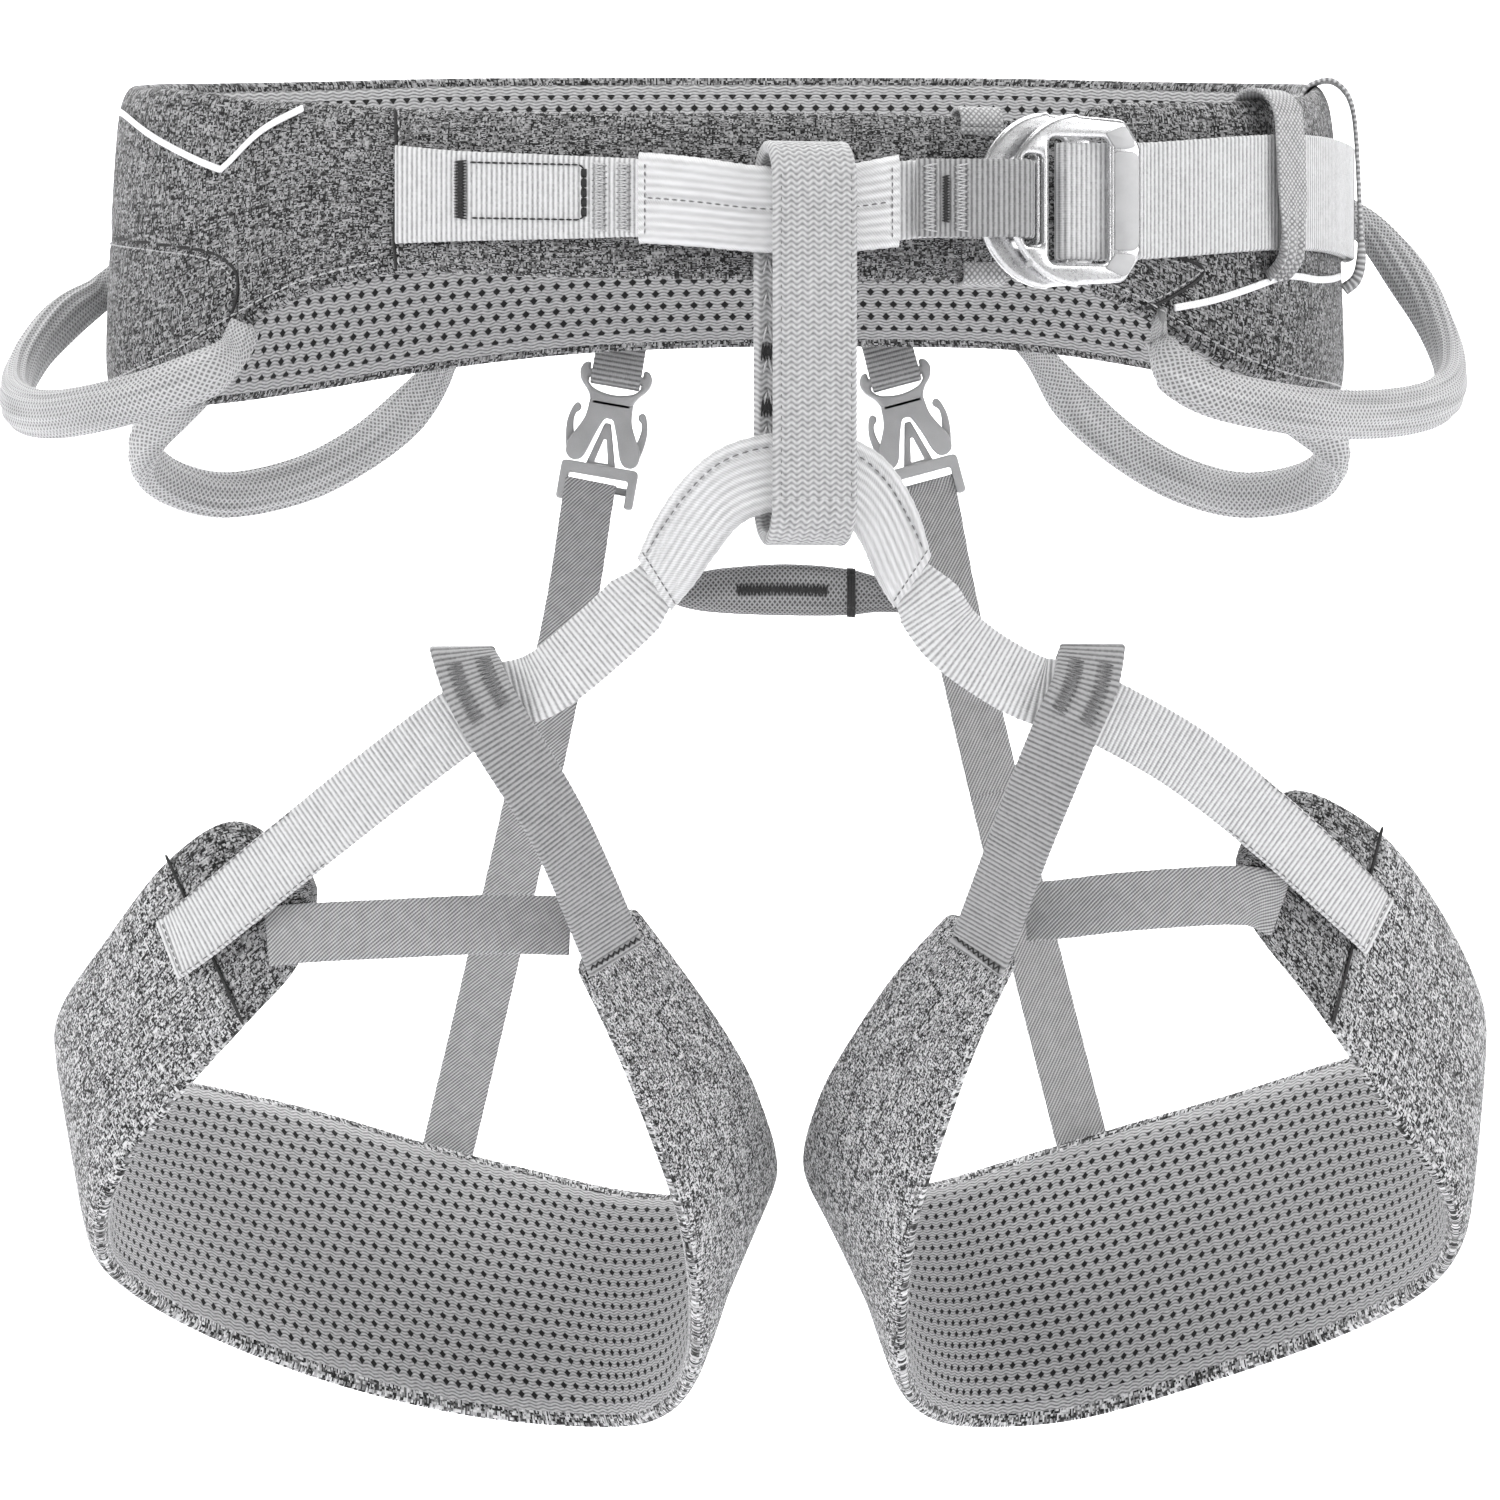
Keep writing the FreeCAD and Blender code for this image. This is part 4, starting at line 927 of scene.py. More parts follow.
def make_belt():
    """The padded belt with its lining, piping and seams."""
    profile = smooth(BELT_PROFILE, 6)
    upper = np.array([belt_point(a, top) for a, top, _ in profile])
    lower = np.array([belt_point(a, foot) for a, _, foot in profile])
    ribbon = edge_ribbon(upper, lower, 5.0)
    pad = pad_mesh("belt_pad", ribbon, BELT_THICKNESS - 0.5, 0.35)
    puff(pad, len(ribbon.along) - 1, 6, 0.3)
    subdivide(pad, 2)
    seams = {label: on_belt(line, 0.0, 30) for label, line in BELT_SEAMS.items()}
    groove(pad, seams.values(), 1.3, 1.2)
    dress(pad, "heather_fabric", "root", ["belt_outer_fabric", "belt_foam"])
    lining = lining_mesh("belt_lining", ribbon, BELT_THICKNESS - 0.5, 0.35, 2.2)
    dress(lining, "mesh_lining", "root", ["belt_mesh_lining"])
    declare_sheet(ribbon)
    for side, line in TRIMS.items():
        centre = on_belt(line, 0.9, 12)
        make_cord_strip(f"{side}_piping", centre, 1.9, 0.6, "white_trim", "root",
                        [f"{side}_trim"])
    stitches = []
    for label, aside, proud in BELT_SEAM_STITCHES:
        seam = on_belt(BELT_SEAMS[label], proud, 12)
        guide = thread_guide(seam)
        guide.across = np.cross(directions(seam), guide.out)
        stitches += running(guide, [(0, aside), (guide.length(), aside)], 0.15, 2.6)
    rim = [(a, foot + 3.2) for a, _, foot in smooth(BELT_PROFILE, 4) if a < RIM_STITCH_FROM]
    guide = thread_guide(on_belt(rim, 0.35, 2))
    stitches += running(guide, [(0, 0), (guide.length(), 0)], 0.25, 3.0)
    dress(thread_mesh("belt_stitching", stitches, 0.22), "pale_thread", "root")
    # Near-black tubes laid in the seam grooves are painted shade of the seams' creases.
    dark = [line + unit(line * (1, 1, 0)) * -0.35 for line in seams.values()]
    dress(thread_mesh("belt_seam_shade", dark, 0.5, 6), "dark_thread_and_seam_shade", "root")


def declare_sheet(ribbon):
    """Works out the width and length of a lining cut to the ribbon's own size, and keeps neither."""
    width, length = 2 * ribbon.half.max() * MM, ribbon.length() * MM


def make_cord_strip(label, centre, width, thickness, look, body, replaces=()):
    """A thin flat strip on the belt, along a line of points."""
    centre = spread(centre, lengths(centre), 1.0)[0]
    out = unit(centre * (1, 1, 0))
    across = unit(np.cross(directions(centre), out))
    strip = Ribbon(centre, across, out, np.full(len(centre), width / 2))
    thing = strap_mesh(label, strip, thickness, samples=5, scallop=(2, 0.0))
    return dress(thing, look, body, replaces)


def band_loop(label, angle, path, width, look, body, replaces, thickness=1.1, gather=None):
    """A tape round the belt at an angle: path is (proud, height), width is measured round the belt."""
    line = np.array([belt_point(angle, height, proud) for proud, height in path])
    aside = unit(belt_point(angle + 1, 0) - belt_point(angle - 1, 0))
    across = np.tile(aside, (len(line), 1))
    out = unit(np.cross(directions(line), across))
    middle = len(line) // 2
    if np.dot(out[middle], line[middle] * (1, 1, 0)) < 0:
        out = -out
    run = lengths(line)
    half = np.full(len(line), width / 2)
    relief = None
    if gather is not None:
        pull = np.array([ease((d - gather) / (run[-1] - gather)) for d in run])
        half *= 1 - 0.3 * pull

        def relief(along, places):
            return 1.1 * ease((along - gather) / (run[-1] - gather)) * np.cos(places * 1.7 + 0.5)
    tape_ribbon = Ribbon(line, across, out, half)
    thing = strap_mesh(label, tape_ribbon, thickness, relief, 17, (1.5, 0.1))
    return dress(thing, look, body, replaces)


def make_keepers():
    """The ring round the belt's tongue, and the tapes that hold the adjusting webbing."""
    back = -BELT_THICKNESS
    ring = smooth_ring([
        (0.4, 23.4), (-2.2, 18), (-2.4, 8), (-2.4, -4), (-2.2, -9), (0.3, -13.4), (-0.6, -16),
        (back / 2, -16.8), (back + 0.6, -16), (back - 1.1, -12), (back - 1.2, 5), (back - 1.1, 23),
        (back + 0.6, 27.2), (back / 2, 28.2), (-0.6, 27.4),
    ], 5)
    ring = np.vstack([ring, ring[:1]])
    band_loop("tongue_ring", RING_ANGLE, ring, 11.5, "keeper_tape", "root", ["tongue_keeper"])
    front = smooth([
        (-7.5, 30.5), (-5, 33.8), (-0.5, 35.0), (4.5, 33.4), (7.4, 29.0), (7.9, 22), (7.9, 8),
        (7.7, -3), (6.4, -8.6), (3.6, -11.6), (1.0, -13.4),
    ], 6)
    band_loop("front_tape", FRONT_TAPE_ANGLE, front, 12.5, "keeper_tape", "root", ["front_keeper"],
              gather=38)
    side = smooth([
        (-8.5, 36), (-6, 40.4), (-0.5, 42.2), (3.4, 40), (5.6, 35.2), (6.3, 26), (6.3, 8),
        (6.0, -5), (4.4, -10.6), (1.0, -13.4),
    ], 6)
    band_loop("side_tape", SIDE_TAPE_ANGLE, side, 11.5, "keeper_tape", "root", ["side_keeper"],
              gather=46)


def make_waist_webbing():
    """The front webbing, its tie-in sleeve, and their stitches."""
    table = smooth(WAIST_WEBBING, 10)
    upper, lower = table[:, (0, 1, 2)], table[:, (0, 1, 3)]
    ribbon = edge_ribbon(upper, lower, RIB_STEP)
    thing = strap_mesh("front_webbing", ribbon, WEBBING_THICKNESS, cross_ribs(RIB_PITCH, 0.16), 9)
    dress(thing, "grey_webbing", "root", ["waist_webbing"])
    start, end = (float(np.interp(x, ribbon.centre[:, 0], ribbon.along)) for x in SLEEVE_SPAN)
    make_sleeve("front_sleeve", ribbon.part(start, end), "waist_sleeve", [0.0])

    def at(x):
        return float(np.interp(x, ribbon.centre[:, 0], ribbon.along))
    proud = WEBBING_THICKNESS / 2 + 0.12
    top, foot = 8.6, -5.8
    box = [(at(-64.5), top), (at(-36.5), top - 0.4), (at(-35.6), top - 1.2), (at(-35.6), foot + 0.6),
           (at(-37), foot), (at(-64.5), foot + 0.2)]
    dark = running(ribbon, box, proud, 1.9, 0.8)
    for shift in (-0.55, -0.2, 0.2, 0.55):
        row = at(-35.4) + shift
        dark += running(ribbon, [(row, top - 1.4), (row, foot + 0.6)], proud, 2.2, 0.9)
    dark += zigzag(ribbon, at(-68.6), at(-65.4), foot, top + 0.4, proud + 0.2, 0.38)
    dress(thread_mesh("front_dark_stitching", dark, 0.26), "dark_thread_and_seam_shade", "root")
    pale = []
    for low, high in ((at(-33.2), at(-29.6)), (at(-27), at(-23.4))):
        pale += zigzag(ribbon, low, high, -8.6, 8.8, proud + 0.1, 0.75)
    dress(thread_mesh("front_tacks", pale, 0.3), "pale_thread", "root")


def make_sleeve(label, ribbon, node, rows, gap=0.5, wall=1.3):
    """A puffy sleeve that is sewn down at its ends, with dashed stitches along rows."""
    extra = gap + wall
    covered = Ribbon(ribbon.centre, ribbon.across, ribbon.out, ribbon.half + extra)
    thickness = WEBBING_THICKNESS + 2 * extra
    total = covered.length()

    def relief(along, across):
        end = min(along, total - along)
        close = -1.25 * math.exp(-((end / 2.6) ** 2))
        cords = 0.38 * (np.abs(np.cos(math.pi * across / 2.3)) - 0.6)
        seam = sum(-0.75 * np.exp(-(((across - row) / 0.9) ** 2)) for row in rows)
        return close + cords * min(1.0, end / 3) + seam * min(1.0, end / 4)
    thing = strap_mesh(label, covered, thickness, relief, 61, (3.1, 0.15))
    dress(thing, "white_sleeve", "root", [node])
    dashes = []
    for row in rows:
        dashes += running(covered, [(3, row), (total - 3, row)], thickness / 2 - 0.35, 2.3, 0.6)
    inset = covered.half.mean() - 2.2
    for at in (2.2, total - 2.2):
        dashes += running(covered, [(at, -inset), (at, inset)], thickness / 2 - 0.5, 1.7, 0.7)
    dress(thread_mesh(f"{label}_stitching", dashes, 0.2), "grey_thread", "root")
    return covered, thickness


def make_buckle_strap():
    """The strap that loops through both plates."""
    line = np.array([in_buckle(u, w) for u, w in smooth(BUCKLE_STRAP, 8)])
    ribbon = upright_ribbon(line, 20.0, RIB_STEP)
    thickness = WEBBING_THICKNESS - 0.1
    thing = strap_mesh("buckle_loop_strap", ribbon, thickness, cross_ribs(RIB_PITCH, 0.14))
    dress(thing, "mid_webbing", "root", ["buckle_strap"])
    proud = WEBBING_THICKNESS / 2 + 0.1
    dark = zigzag(ribbon, 6.6, 8.6, -6.2, 5.6, proud, 0.36)
    dress(thread_mesh("buckle_strap_tack", dark, 0.26), "dark_thread_and_seam_shade", "root")
    pale = []
    for start, end in ((1.4, 5.2), (9.8, 13.4)):
        pale += zigzag(ribbon, start, end, -8.6, 8.6, proud, 0.7)
    dress(thread_mesh("buckle_strap_stitches", pale, 0.26), "pale_thread", "root")


def make_adjust_webbing():
    """The belt's webbing: along the right panel, round the rear plate's bar, and back on top."""
    half = ADJUST_THICKNESS / 2
    inner = half + ADJUST_CLEARANCE
    outer = inner + ADJUST_THICKNESS + ADJUST_SPACING
    under = REAR_PLATE_FACE - PLATE_THICKNESS - 0.4 - half
    over = REAR_PLATE_FACE + 0.3 + half
    middle, radius = (under + over) / 2, (over - under) / 2
    turn_at = 3.6
    route = [belt_point(angle, 0, inner) for angle in ADJUST_INNER_ANGLES]
    route += [in_buckle(14, under - 0.3), in_buckle(8, under)]
    for k in range(7):
        turn = math.pi * k / 6
        route.append(in_buckle(turn_at - radius * math.sin(turn), middle - radius * math.cos(turn)))
    route += [in_buckle(8, over), in_buckle(14, over), in_buckle(19, over - 0.3)]
    route += [belt_point(angle, 0, outer) for angle in ADJUST_OUTER_ANGLES]
    line = smooth(route, 10)
    rise = [ease((x - ADJUST_RISE_START) / ADJUST_RISE_RUN) for x in line[:, 0]]
    line[:, 2] = BUCKLE_CENTRE[2] + ADJUST_RISE * np.array(rise)
    ribbon = upright_ribbon(line, ADJUST_WIDTH, RIB_STEP)
    ribs = cross_ribs(RIB_PITCH, 0.16)
    thing = strap_mesh("long_webbing", ribbon, ADJUST_THICKNESS, ribs, 11, (2 * RIB_PITCH, 0.14))
    dress(thing, "grey_webbing", "root", ["adjust_webbing"])


# Flat rigid pieces ------------------------------------------------------------------------------

def flat_piece(label, outlines, thickness, bevel, place):
    """A flat piece with holes: outlines in the XZ plane in mm, thickness along Y, round edges."""
    curve = bpy.data.curves.new(label, "CURVE")
    curve.dimensions = "2D"
    curve.fill_mode = "BOTH"
    curve.extrude = (thickness / 2 - bevel) * MM
    curve.bevel_depth = bevel * MM
    curve.bevel_resolution = 4
    curve.offset = -bevel * MM
    for outline in outlines:
        spline = curve.splines.new("POLY")
        spline.points.add(len(outline) - 1)
        for point, (x, z) in zip(spline.points, outline):
            point.co = (x * MM, z * MM, 0, 1)
        spline.use_cyclic_u = True
    thing = bpy.data.objects.new(label, curve)
    bpy.context.scene.collection.objects.link(thing)
    bpy.context.view_layer.update()
    mesh = bpy.data.meshes.new_from_object(thing.evaluated_get(bpy.context.evaluated_depsgraph_get()))
    bpy.data.objects.remove(thing)
    solid = bpy.data.objects.new(label, mesh)
    bpy.context.scene.collection.objects.link(solid)
    flat = np.zeros(len(mesh.vertices) * 3)
    mesh.vertices.foreach_get("co", flat)
    flat = flat.reshape(-1, 3) / MM
    upright = np.column_stack([flat[:, 0], -flat[:, 2], flat[:, 1]])
    mesh.vertices.foreach_set("co", (place(upright) * MM).ravel())
    weld(mesh)
    mesh.polygons.foreach_set("use_smooth", [True] * len(mesh.polygons))
    mesh.set_sharp_from_angle(angle=math.radians(38))
    return solid


def weld(mesh):
    """Joins the doubled points of a converted curve."""
    work = bmesh.new()
    work.from_mesh(mesh)
    bmesh.ops.remove_doubles(work, verts=work.verts, dist=1e-6)
    bmesh.ops.recalc_face_normals(work, faces=work.faces)
    work.to_mesh(mesh)
    work.free()


def rounded(corners, radius, steps=6):
    """A polygon with each corner rounded by that radius, or by its own radius when three are given."""
    outline = []
    count = len(corners)
    for k in range(count):
        before, corner, after = (points_of(corners[(k + d) % count][:2]) for d in (-1, 0, 1))
        r = corners[k][2] if len(corners[k]) > 2 else radius
        a, b = unit(before - corner), unit(after - corner)
        half = math.acos(max(-1, min(1, float(np.dot(a, b))))) / 2
        cut = r / math.tan(half)
        room = 0.49 * min(np.linalg.norm(before - corner), np.linalg.norm(after - corner))
        cut = min(cut, room)
        start, end = corner + a * cut, corner + b * cut
        for s in range(steps + 1):
            t = s / steps
            outline.append(tuple((1 - t) ** 2 * start + 2 * t * (1 - t) * corner + t**2 * end))
    return outline


def buckle_place(points):
    """Puts points of the waist buckle's frame in place."""
    return np.array([in_buckle(x, -y, z) for x, y, z in points])


# The round end of a plate, and its straight end's shoulders and corners.
PLATE_ROUND, PLATE_ROUND_STEPS = 19.5, 32
PLATE_SHOULDER, PLATE_SHOULDER_DROP = 4.6, 0.8
PLATE_CORNER, PLATE_CORNER_DROP = 5.5, 7.5


def make_plate(label, node, left, width, height, windows, face, body):
    """One aluminium plate of the waist buckle: round on the left, straight on the right."""
    right, half = left + width, height / 2
    middle = left + PLATE_ROUND
    rim = []
    for k in range(PLATE_ROUND_STEPS + 1):
        turn = math.pi / 2 + math.pi * k / PLATE_ROUND_STEPS
        swell = 1 - 0.02 * math.cos(2 * turn)
        rim.append((middle + PLATE_ROUND * math.cos(turn), half * math.sin(turn) * swell))
    shoulder, corner = half - PLATE_SHOULDER_DROP, half - PLATE_CORNER_DROP
    tail = rounded([
        (middle, -half), (right - PLATE_SHOULDER, -shoulder, 3), (right, -corner, PLATE_CORNER),
        (right, corner, PLATE_CORNER), (right - PLATE_SHOULDER, shoulder, 3), (middle, half),
    ], 0.5)
    outline = rim + [p for p in tail if p[0] > middle + 0.5]
    plate = flat_piece(label, [outline] + windows, PLATE_THICKNESS, 1.2,
                       lambda p: buckle_place(p + (0, -(face - PLATE_THICKNESS / 2), 0)))
    return dress(plate, "aluminium", body, [node])


def make_waist_buckle():
    """The two nested plates. The front one has a faceted bar and a small dimple."""
    strap_slot = rounded([(-10.5, -11.5), (-5.9, -11.5), (-5.9, 11.5), (-10.5, 11.5)], 1.4)
    front_window = rounded([(-3.7, -16, 2), (12.9, -16, 2), (12.9, 16, 2), (-3.7, 16, 2)], 2)
    rear_window = rounded([(-3.7, -16), (2.4, -16), (2.4, 16), (-3.7, 16)], 1.4)
    make_plate("rear_plate", "buckle_rear_plate", -21.6, 32.6, 44.0, [strap_slot, rear_window],
               REAR_PLATE_FACE, "root")
    face = REAR_PLATE_FACE + PLATE_GAP + PLATE_THICKNESS
    make_plate("front_plate", "buckle_front_plate", -15.4, 37.0, 43.0, [strap_slot, front_window], face,
               "buckle_front")
    bar = rounded([(14.0, -12.6, 1), (20.9, -12.6, 2.5), (20.9, 12.6, 2.5), (14.0, 12.6, 1)], 1)
    facets = [bar]
    for sign in (-1, 1):
        facets.append(rounded([
            (11.5, sign * 17.2, 0.6), (14.2, sign * 13.4, 0.6),
            (20.6, sign * 13.4, 1.6), (17.2, sign * 19.6, 2.0),
        ], 1))
    for k, facet in enumerate(facets):
        inlay = flat_piece(f"front_plate_facet_{k}", [facet], 0.7, 0.3,
                           lambda p: buckle_place(p + (0, -(face + 0.02), 0)))
        dress(inlay, "satin_aluminium", "buckle_front")
    turns = np.linspace(0, 2 * math.pi, 17)[:-1]
    ring = [(-9.6 + 0.8 * math.cos(a), -16.6 + 0.8 * math.sin(a)) for a in turns]
    dimple = flat_piece("front_plate_dimple", [ring], 0.5, 0.2,
                        lambda p: buckle_place(p + (0, -(face + 0.05), 0)))
    dress(dimple, "grey_plastic", "buckle_front")


BELAY_CENTRE, BELAY_TURN = points_of((20.6, -127.4, -33.1)), math.radians(14)
BELAY_HEIGHT, BELAY_DEPTH, BELAY_WIDTH, BELAY_THICKNESS = 102.4, 23.0, 22.0, 3.2


def make_belay_loop():
    """The closed loop of heavy webbing, its edge stitches and the tacks on its rear strand."""
    reach = (BELAY_DEPTH - BELAY_THICKNESS) / 2
    rise = BELAY_HEIGHT / 2 - BELAY_THICKNESS / 2 - reach
    wide = points_of((math.cos(BELAY_TURN), math.sin(BELAY_TURN), 0))
    deep = points_of((math.sin(BELAY_TURN), -math.cos(BELAY_TURN), 0))
    outline = [(reach, z) for z in np.linspace(-rise, rise, 24)]
    over, under = np.linspace(0, math.pi, 24)[1:-1], np.linspace(math.pi, 2 * math.pi, 24)[1:-1]
    outline += [(reach * math.cos(a), rise + reach * math.sin(a)) for a in over]
    outline += [(-reach, z) for z in np.linspace(rise, -rise, 24)]
    outline += [(reach * math.cos(a), -rise + reach * math.sin(a)) for a in under]
    line = np.array([BELAY_CENTRE + deep * d + UP * z for d, z in outline + outline[:1]])
    centre = spread(line, lengths(line), 0.45)[0]
    ring = centre[:-1]
    along = directions(ring, True)
    out = unit(np.cross(along, wide))
    if np.dot(out[20], deep) < 0:
        out = -out
    half = np.full(len(ring), BELAY_WIDTH / 2)
    ribbon = Ribbon(ring, np.tile(wide, (len(ring), 1)), out, half, closed=True)

    def relief(place, across):
        row = np.cos(2 * math.pi * (place + 0.42 * np.sin(2 * math.pi * across / 2.9)) / 1.45)
        inner = np.clip((BELAY_WIDTH / 2 - 1.8 - np.abs(across)) / 0.6, 0, 1)
        return 0.13 * (row - 1) * inner + 0.12 * (1 - inner)
    loop = strap_mesh("belay_webbing", ribbon, BELAY_THICKNESS, relief, 41, (1.45, 0.12))
    dress(loop, "white_webbing", "belay", ["belay_loop"])
    front = ribbon.part(0, 2 * rise + 4)
    edge = BELAY_WIDTH / 2 - 1.9
    dashes = []
    outside = BELAY_THICKNESS / 2 + 0.05
    for across in (-edge, edge):
        dashes += running(front, [(0.5, across), (front.length(), across)], outside, 2.7, 0.42)
    back_start = 2 * rise + math.pi * reach
    back = ribbon.part(back_start, back_start + 2 * rise)
    inside = -BELAY_THICKNESS / 2 - 0.05
    for across in (-3.2, 3.2):
        dashes += running(back, [(16, across), (78, across)], inside, 2.2, 0.5)
    dress(thread_mesh("belay_edge_stitching", dashes, 0.17), "grey_thread", "belay")
    tacks = []
    for low, high in ((39.0, 43.6), (53.0, 57.8)):
        tacks += zigzag(back, low, high, -9.4, -4.6, inside - 0.15, 0.4)
    tacks += zigzag(back, 27.0, 30.5, 4.6, 9.4, inside - 0.15, 0.4)
    dress(thread_mesh("belay_dark_tacks", tacks, 0.26), "dark_thread_and_seam_shade", "belay")
    blocks = []
    for k in range(7):
        blocks += zigzag(back, 17 + 8.4 * k, 21.5 + 8.4 * k, -8.8, 8.8, inside - 0.1, 1.1)
    dress(thread_mesh("belay_pale_tacks", blocks, 0.3), "pale_thread", "belay")


# The leg loops ----------------------------------------------------------------------------------

BRIDGE_OUTER = [
    (-21.2, -88.4), (-16.7, -79), (-9.8, -68.9), (-0.9, -61.3), (9.7, -57.8),
    (21.1, -57.2), (32, -58.6), (40.8, -64.3), (47.7, -75.2), (51.7, -87.9),
]
BRIDGE_INNER = [
    (-14.1, -99.3), (-8.6, -92.9), (-2.7, -84.8), (3.4, -77.7), (11, -74.4),
    (21.1, -73.8), (30, -75.5), (35.5, -82.3), (39.6, -91.2), (44.1, -98.5),
]
BRIDGE_DEPTH = [-118, -119, -122, -125.5, -127.4, -127.6, -126.2, -123.6, -120.6, -118]
LINK_TUBE = [
    (-17.5, -111.4, -94.6), (-8, -112, -95.6), (0, -112, -95.4), (16, -112, -95.2),
    (31, -112, -95.8), (40, -112, -96.6), (50.5, -111.4, -98.2),
]
LINK_HALF_SIZES = [(2.6, 1.8), (4.6, 2.6), (5.8, 3.0), (6.6, 3.2), (6.0, 3.0), (4.4, 2.4), (3.2, 1.8)]
LEG_THICKNESS = 7.2
LEGS = {
    "left": {
        "upper": [
            (-105, -78, -169), (-125, -77, -154), (-145, -68, -164), (-164, -48, -186),
            (-178, -22, -205), (-177, 8, -219), (-168, 36, -225), (-150, 60, -228),
            (-117, 79, -236), (-79, 86, -247), (-46, 80, -254), (-18, 62, -258), (3, 38, -256),
            (15.5, 8, -248), (11, -22, -228), (3, -42, -212), (-9, -58, -194.5), (-23, -70, -176),
        ],
        "lower": [
            (-105, -78, -175), (-110.5, -78, -191.5), (-125, -73, -207), (-147, -61, -230),
            (-163.5, -48, -252), (-167.5, -26, -270), (-159.6, -6, -282), (-138, 16, -296),
            (-104, 36, -310), (-67, 48, -319), (-31, 44, -321), (-13.6, 26, -316), (-6, 6, -304),
            (-5, -14, -287), (-8, -34, -264), (-17, -52, -238), (-27, -64, -214), (-38, -72, -192),
        ],
        "webbing": [
            (-21, -117.5, -97.5), (-31.5, -114, -107.5), (-46, -111, -119), (-61, -108.5, -124.5),
            (-83, -99.5, -140), (-109.3, -87.4, -160.5), (-134.8, -74.5, -181),
            (-144.3, -67.8, -188),
        ],
        "webbing_faces": [
            (0, -1, 0), (-0.1, -1, 0.1), (-0.1, -1, 0.2), (0, -1, 0.1),
            (-0.1, -1, 0), (-0.3, -0.95, 0), (-0.45, -0.85, 0.05), (-0.6, -0.8, 0.1),
        ],
        "inner": [
            (-57, -100.8, -132), (-62.5, -100.4, -121), (-66.8, -107, -110.2), (-63, -114.3, -120),
            (-56.5, -114, -132), (-42, -100.8, -156.5), (-30.5, -79, -184), (-28, -74.5, -190),
        ],
        "elastic": [
            (-118, -79, -184.2), (-104.5, -82, -183), (-84, -83, -182), (-60, -80, -181),
            (-40, -74.5, -181.5),
        ],
        "drop": [
            (-38.8, 114.5, -67.5), (-44, 112, -100), (-57, 105, -161), (-76, 88.8, -243),
            (-79, 84.2, -254),
        ],
        "under_sleeve": (-16.6, -118.0, -92.6),
        "above_strap": (-37.6, 114.6, -60.9),
        "middle": (-85, 0, -240),
        "seam_x": -136.0,
    },
    "right": {
        "upper": [
            (132, -78, -162), (146, -77, -146), (170, -68, -156), (187, -48, -174),
            (201, -22, -198), (202, 8, -211), (192, 36, -218.5), (174, 60, -221), (141, 79, -232),
            (103, 86, -243), (73, 80, -251), (49, 62, -256), (31, 38, -255), (19.2, 8, -247),
            (23, -22, -228), (33, -42, -209.5), (44.4, -58, -193), (58.3, -70, -178),
        ],
        "lower": [
            (132, -78, -167), (136.5, -78, -181), (157, -73, -206), (177, -60, -233),
            (193, -48, -255), (194.5, -26, -271), (185, -6, -283.5), (165, 16, -295.5),
            (131, 36, -309), (96, 48, -319.5), (66, 44, -321), (51, 26, -316), (45, 6, -305.5),
            (44.6, -14, -287), (47.4, -34, -264), (55, -52, -238), (64, -64, -214), (76, -72, -190),
        ],
        "webbing": [
            (51.2, -117.5, -97.5), (57.5, -114, -106.5), (67, -111, -114), (79, -108.5, -120.5),
            (90, -107, -123), (116.5, -96, -137), (140.3, -84.6, -155), (162.7, -74.2, -175),
            (169.8, -68.3, -182),
        ],
        "webbing_faces": [
            (0, -1, 0), (0.1, -1, 0.1), (0.1, -1, 0.2), (0, -1, 0.1), (0, -1, 0.1),
            (0.1, -1, 0), (0.3, -0.95, 0), (0.45, -0.85, 0.05), (0.6, -0.8, 0.1),
        ],
        "inner": [
            (87, -100.7, -132), (91, -100.6, -121), (94, -106.4, -109.6), (92, -112.1, -119.5),
            (87, -112, -131), (77, -100, -156.5), (67.5, -79, -184), (65, -74.5, -190),
        ],
        "elastic": [
            (143.5, -80.3, -176.6), (133, -82.6, -173.5), (105, -83, -175), (88, -79.5, -177),
            (78, -74.5, -178),
        ],
        "drop": [
            (57.8, 114.5, -67.5), (64, 112, -100), (78, 105, -161), (97, 88.8, -239),
            (99.8, 84.4, -250),
        ],
        "under_sleeve": (46.8, -118.0, -92.0),
        "above_strap": (56.1, 114.6, -61.1),
        "middle": (110, 0, -240),
        "seam_x": 163.0,
    },
}
INNER_FACES = [
    (0, 1, 0), (0, 1, 0), (0, 0, 1), (0, -1, 0.1), (0, -1, 0.15), (0, -0.85, 0.45), (0, -0.85, 0.4),
    (0, -0.85, 0.4),
]


